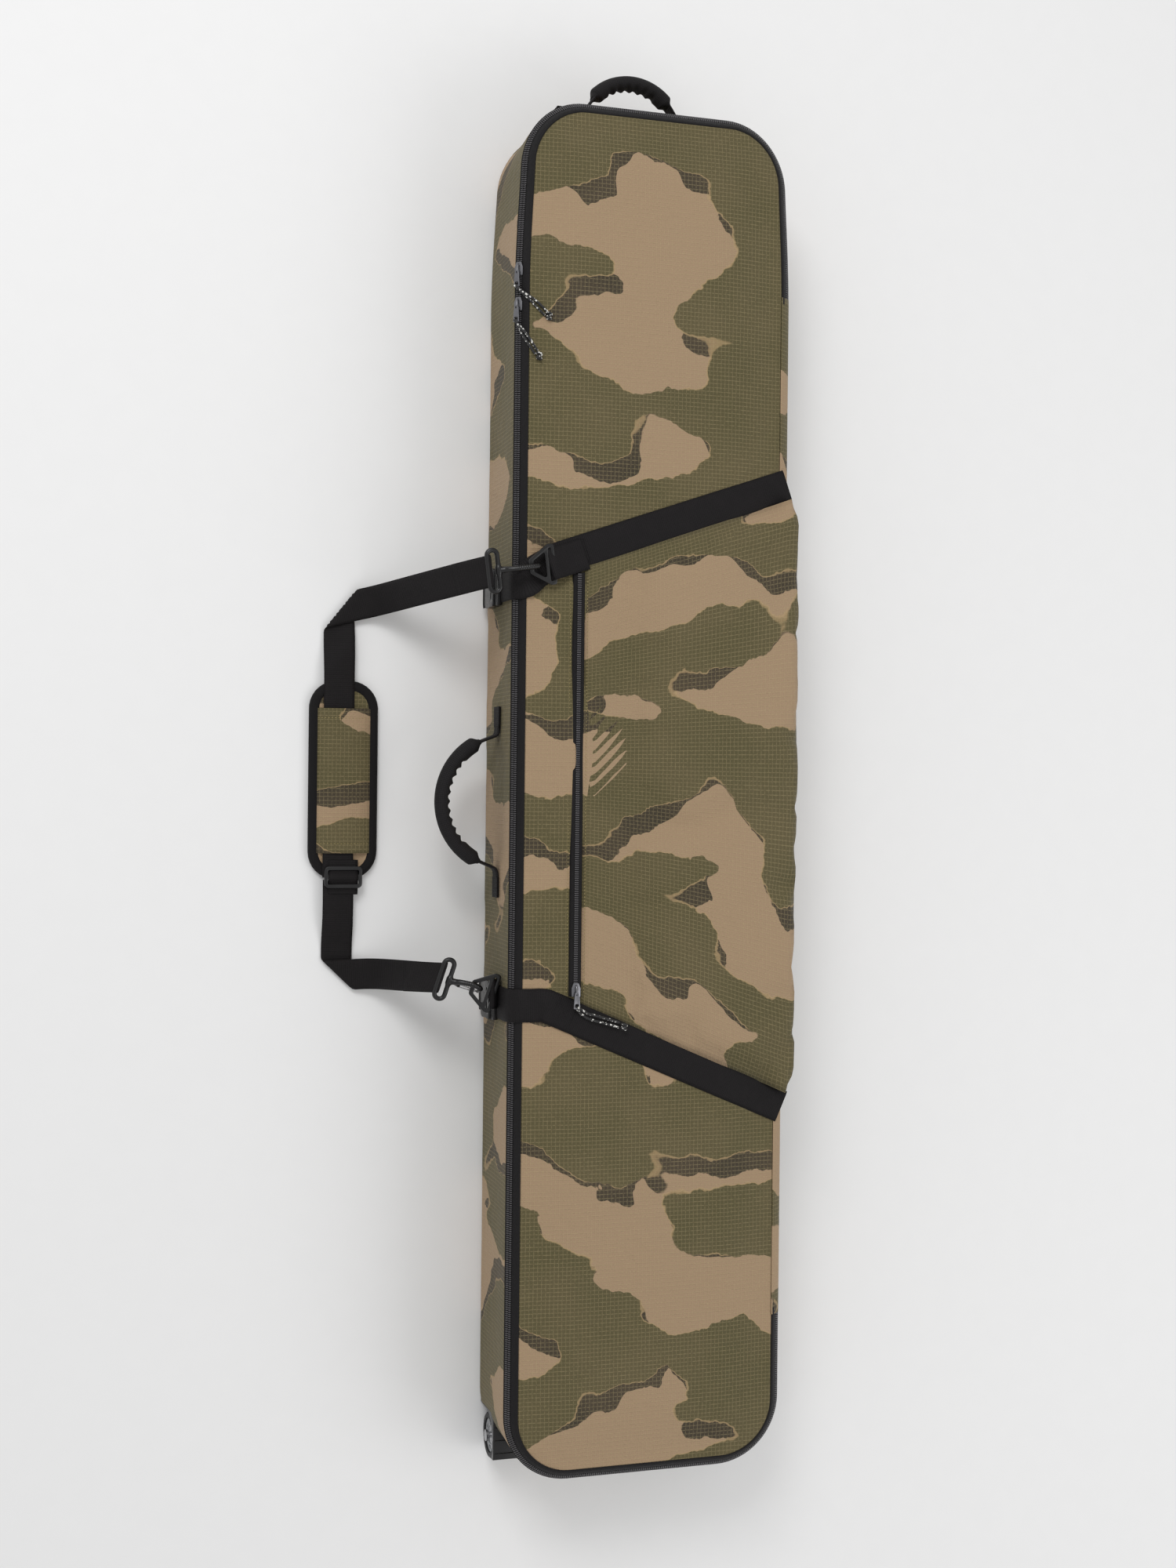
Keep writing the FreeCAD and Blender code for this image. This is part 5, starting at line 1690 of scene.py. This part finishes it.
def make_wheel_housing(side):
    """The moulded arch over a wheel, with its inner wall."""
    name = "left_wheel_arch" if side < 0 else "right_wheel_arch"
    turns = np.radians(np.linspace(129.5, 0, 22))
    arc = [(WHEEL_Y + 33 * math.cos(t), WHEEL_Z + 33 * math.sin(t)) for t in turns]
    arch = rounded_polygon([(-776, 1.2), (-769, 1.2), (-769, 66.8), (-829.5, 66.8), (-830, 57)], 3)[3:-3]
    place = side_place(side, 137)
    cover = plate(name + "_cover", [arch + arc], 31, PLASTIC, place, 1.6)
    wall = rounded_polygon([(-768.7, 1.2), (-768.7, 67.3), (-829.5, 67.3), (-829.5, 12), (-820, 1.2)], 1.5)
    inner = plate(name + "_wall", [wall], 5.3, PLASTIC, side_place(side, 131.9), 0.6)
    ribs = []
    for y in (-822, -806, -790):
        rib = rounded_polygon([(y - 1.2, 64), (y + 1.2, 64), (y + 1.2, 67.8), (y - 1.2, 67.8)], 0.6, 3)
        ribs.append(plate(f"{name}_rib_{-y}", [rib], 29, PLASTIC, place, 0.4))
    made = joined(name, [cover, inner] + ribs)
    outward(made)
    sharpen(made)
    give(made, "shell", "black_plastic", "left_wheel_housing" if side < 0 else "right_wheel_housing")


# ------------------------------------------------------------------ inside


QUILT = 60.0  # between the quilting's diagonal seams, along the bag


def make_liner():
    """The quilted padded liner on the floor of the bag."""
    profile = even_rows([(HALF_WIDTH, 5.4), (17, 5.6)], 20)
    under = len(profile)
    profile += [(14.5, 9.5), (15, 12)] + even_rows([(19, 13), (HALF_WIDTH, 13)], 5)
    grid = ring_grid(profile)
    x, y = grid[..., 0], grid[..., 1]
    rising, falling = (x + y) / QUILT, (x - y) / QUILT
    near = np.minimum(np.abs(rising - np.round(rising)), np.abs(falling - np.round(falling)))
    grid[under + 2 :, :, 2] += (2.2 * smooth_step(near * 3.4) - 1.6)[under + 2 :]
    made = sheet_piece("quilted_liner", grid, [LINING], plan_uv(grid), wrap_rows=True, wrap_columns=True)
    join_middle(made)
    outward(made)
    cut_wells(made, (130.5, -900, -5), (200, -767, 70))
    give(made, "shell", "lining", "foam_liner")


def make_tie_downs():
    """Two webbing straps with a buckle each, which hold the board down."""
    straps, buckles = [], []
    for y in (380, -360):
        profile = [(-166, 16.2), (-150, 15.4), (-60, 15.6), (-6, 17.0), (60, 15.6), (150, 15.4), (166, 16.2)]
        points = [(x, y, height) for x, height in profile]
        straps.append(band(f"tie_{y}".replace("-", "m"), ribbon(points, (0, 1, 0), 25, 5), 1.7, [WEBBING]))
        place = place_at((4, y, 16.2), (1, 0, 0), (0, 1, 0))
        case = rounded_polygon([(-24, -15), (18, -15), (24, -11), (24, 11), (18, 15), (-24, 15)], 4)
        window = rounded_polygon([(8, -9), (14, -9), (14, 9), (8, 9)], 2, 3)
        buckles.append(plate(f"tie_buckle_{y}".replace("-", "m"), [case, window], 5.5, PLASTIC, place, 1.5))
    give(joined("board_straps", straps), "shell", "webbing", "tie_down_straps")
    give(joined("board_buckles", buckles), "shell", "black_plastic", "tie_down_buckles")


# ------------------------------------------------------------------ seams


def make_seams():
    """Visible rows of thread: beside the pocket zip, and the sewn boxes on the lash straps."""
    y = np.arange(-243, 259, 3.0)
    up = np.tile([0.0, 0, 1], (len(y), 1))
    routes = []
    for x, lift in ((-108.6, 0.2), (-88.4, 1.3)):
        z = front_height(np.full(len(y), x), y) if x < -100 else np.full(len(y), 168.0)
        routes.append((np.stack([np.full(len(y), x), y, z + lift], 1), up))
    stitch_rows("pocket_zip_stitches", routes, "lid")
    boxes = []
    for strap in STRAPS.values():
        along = np.array([1, strap["slope"]]) / math.hypot(1, strap["slope"])
        across = np.array([-along[1], along[0]])
        start = np.array(strap["bend"]) + along * 14
        corners = [(0, -16), (24, -16), (24, 16), (0, 16), (0, -16), (24, 16), (24, -16), (0, 16)]
        path = np.array([start + along * a + across * b for a, b in corners])
        dense = smooth_path(path, 1.5, 0)
        z = front_height(dense[:, 0], dense[:, 1]) + 2.6
        boxes.append((np.column_stack([dense, z]), np.tile([0.0, 0, 1], (len(dense), 1))))
    stitch_rows("lash_strap_stitches", boxes, "lid", material=BLACK_THREAD, pitch=3.0)


# ------------------------------------------------------------------ whole scene

make_camera()
make_studio()
finish_cad_nodes()
make_cords()
make_shell()
make_front_cover()
make_main_zip()
make_hinge_cloth()
make_lash_straps()
make_pocket_cover()
make_pocket_zip()
for end in ("upper", "lower"):
    make_ring(end)
    make_hook(end)
    make_loop(end)
make_ring_tabs()
make_shoulder_webbing()
make_pad()
make_adjuster()
for handle in HANDLES:
    make_handle_grip(handle)
    make_handle_ends(handle)
make_lash_buckles()
make_sliders()
for side in (-1, 1):
    make_wheel(side)
    make_wheel_housing(side)
make_liner()
make_tie_downs()
make_seams()
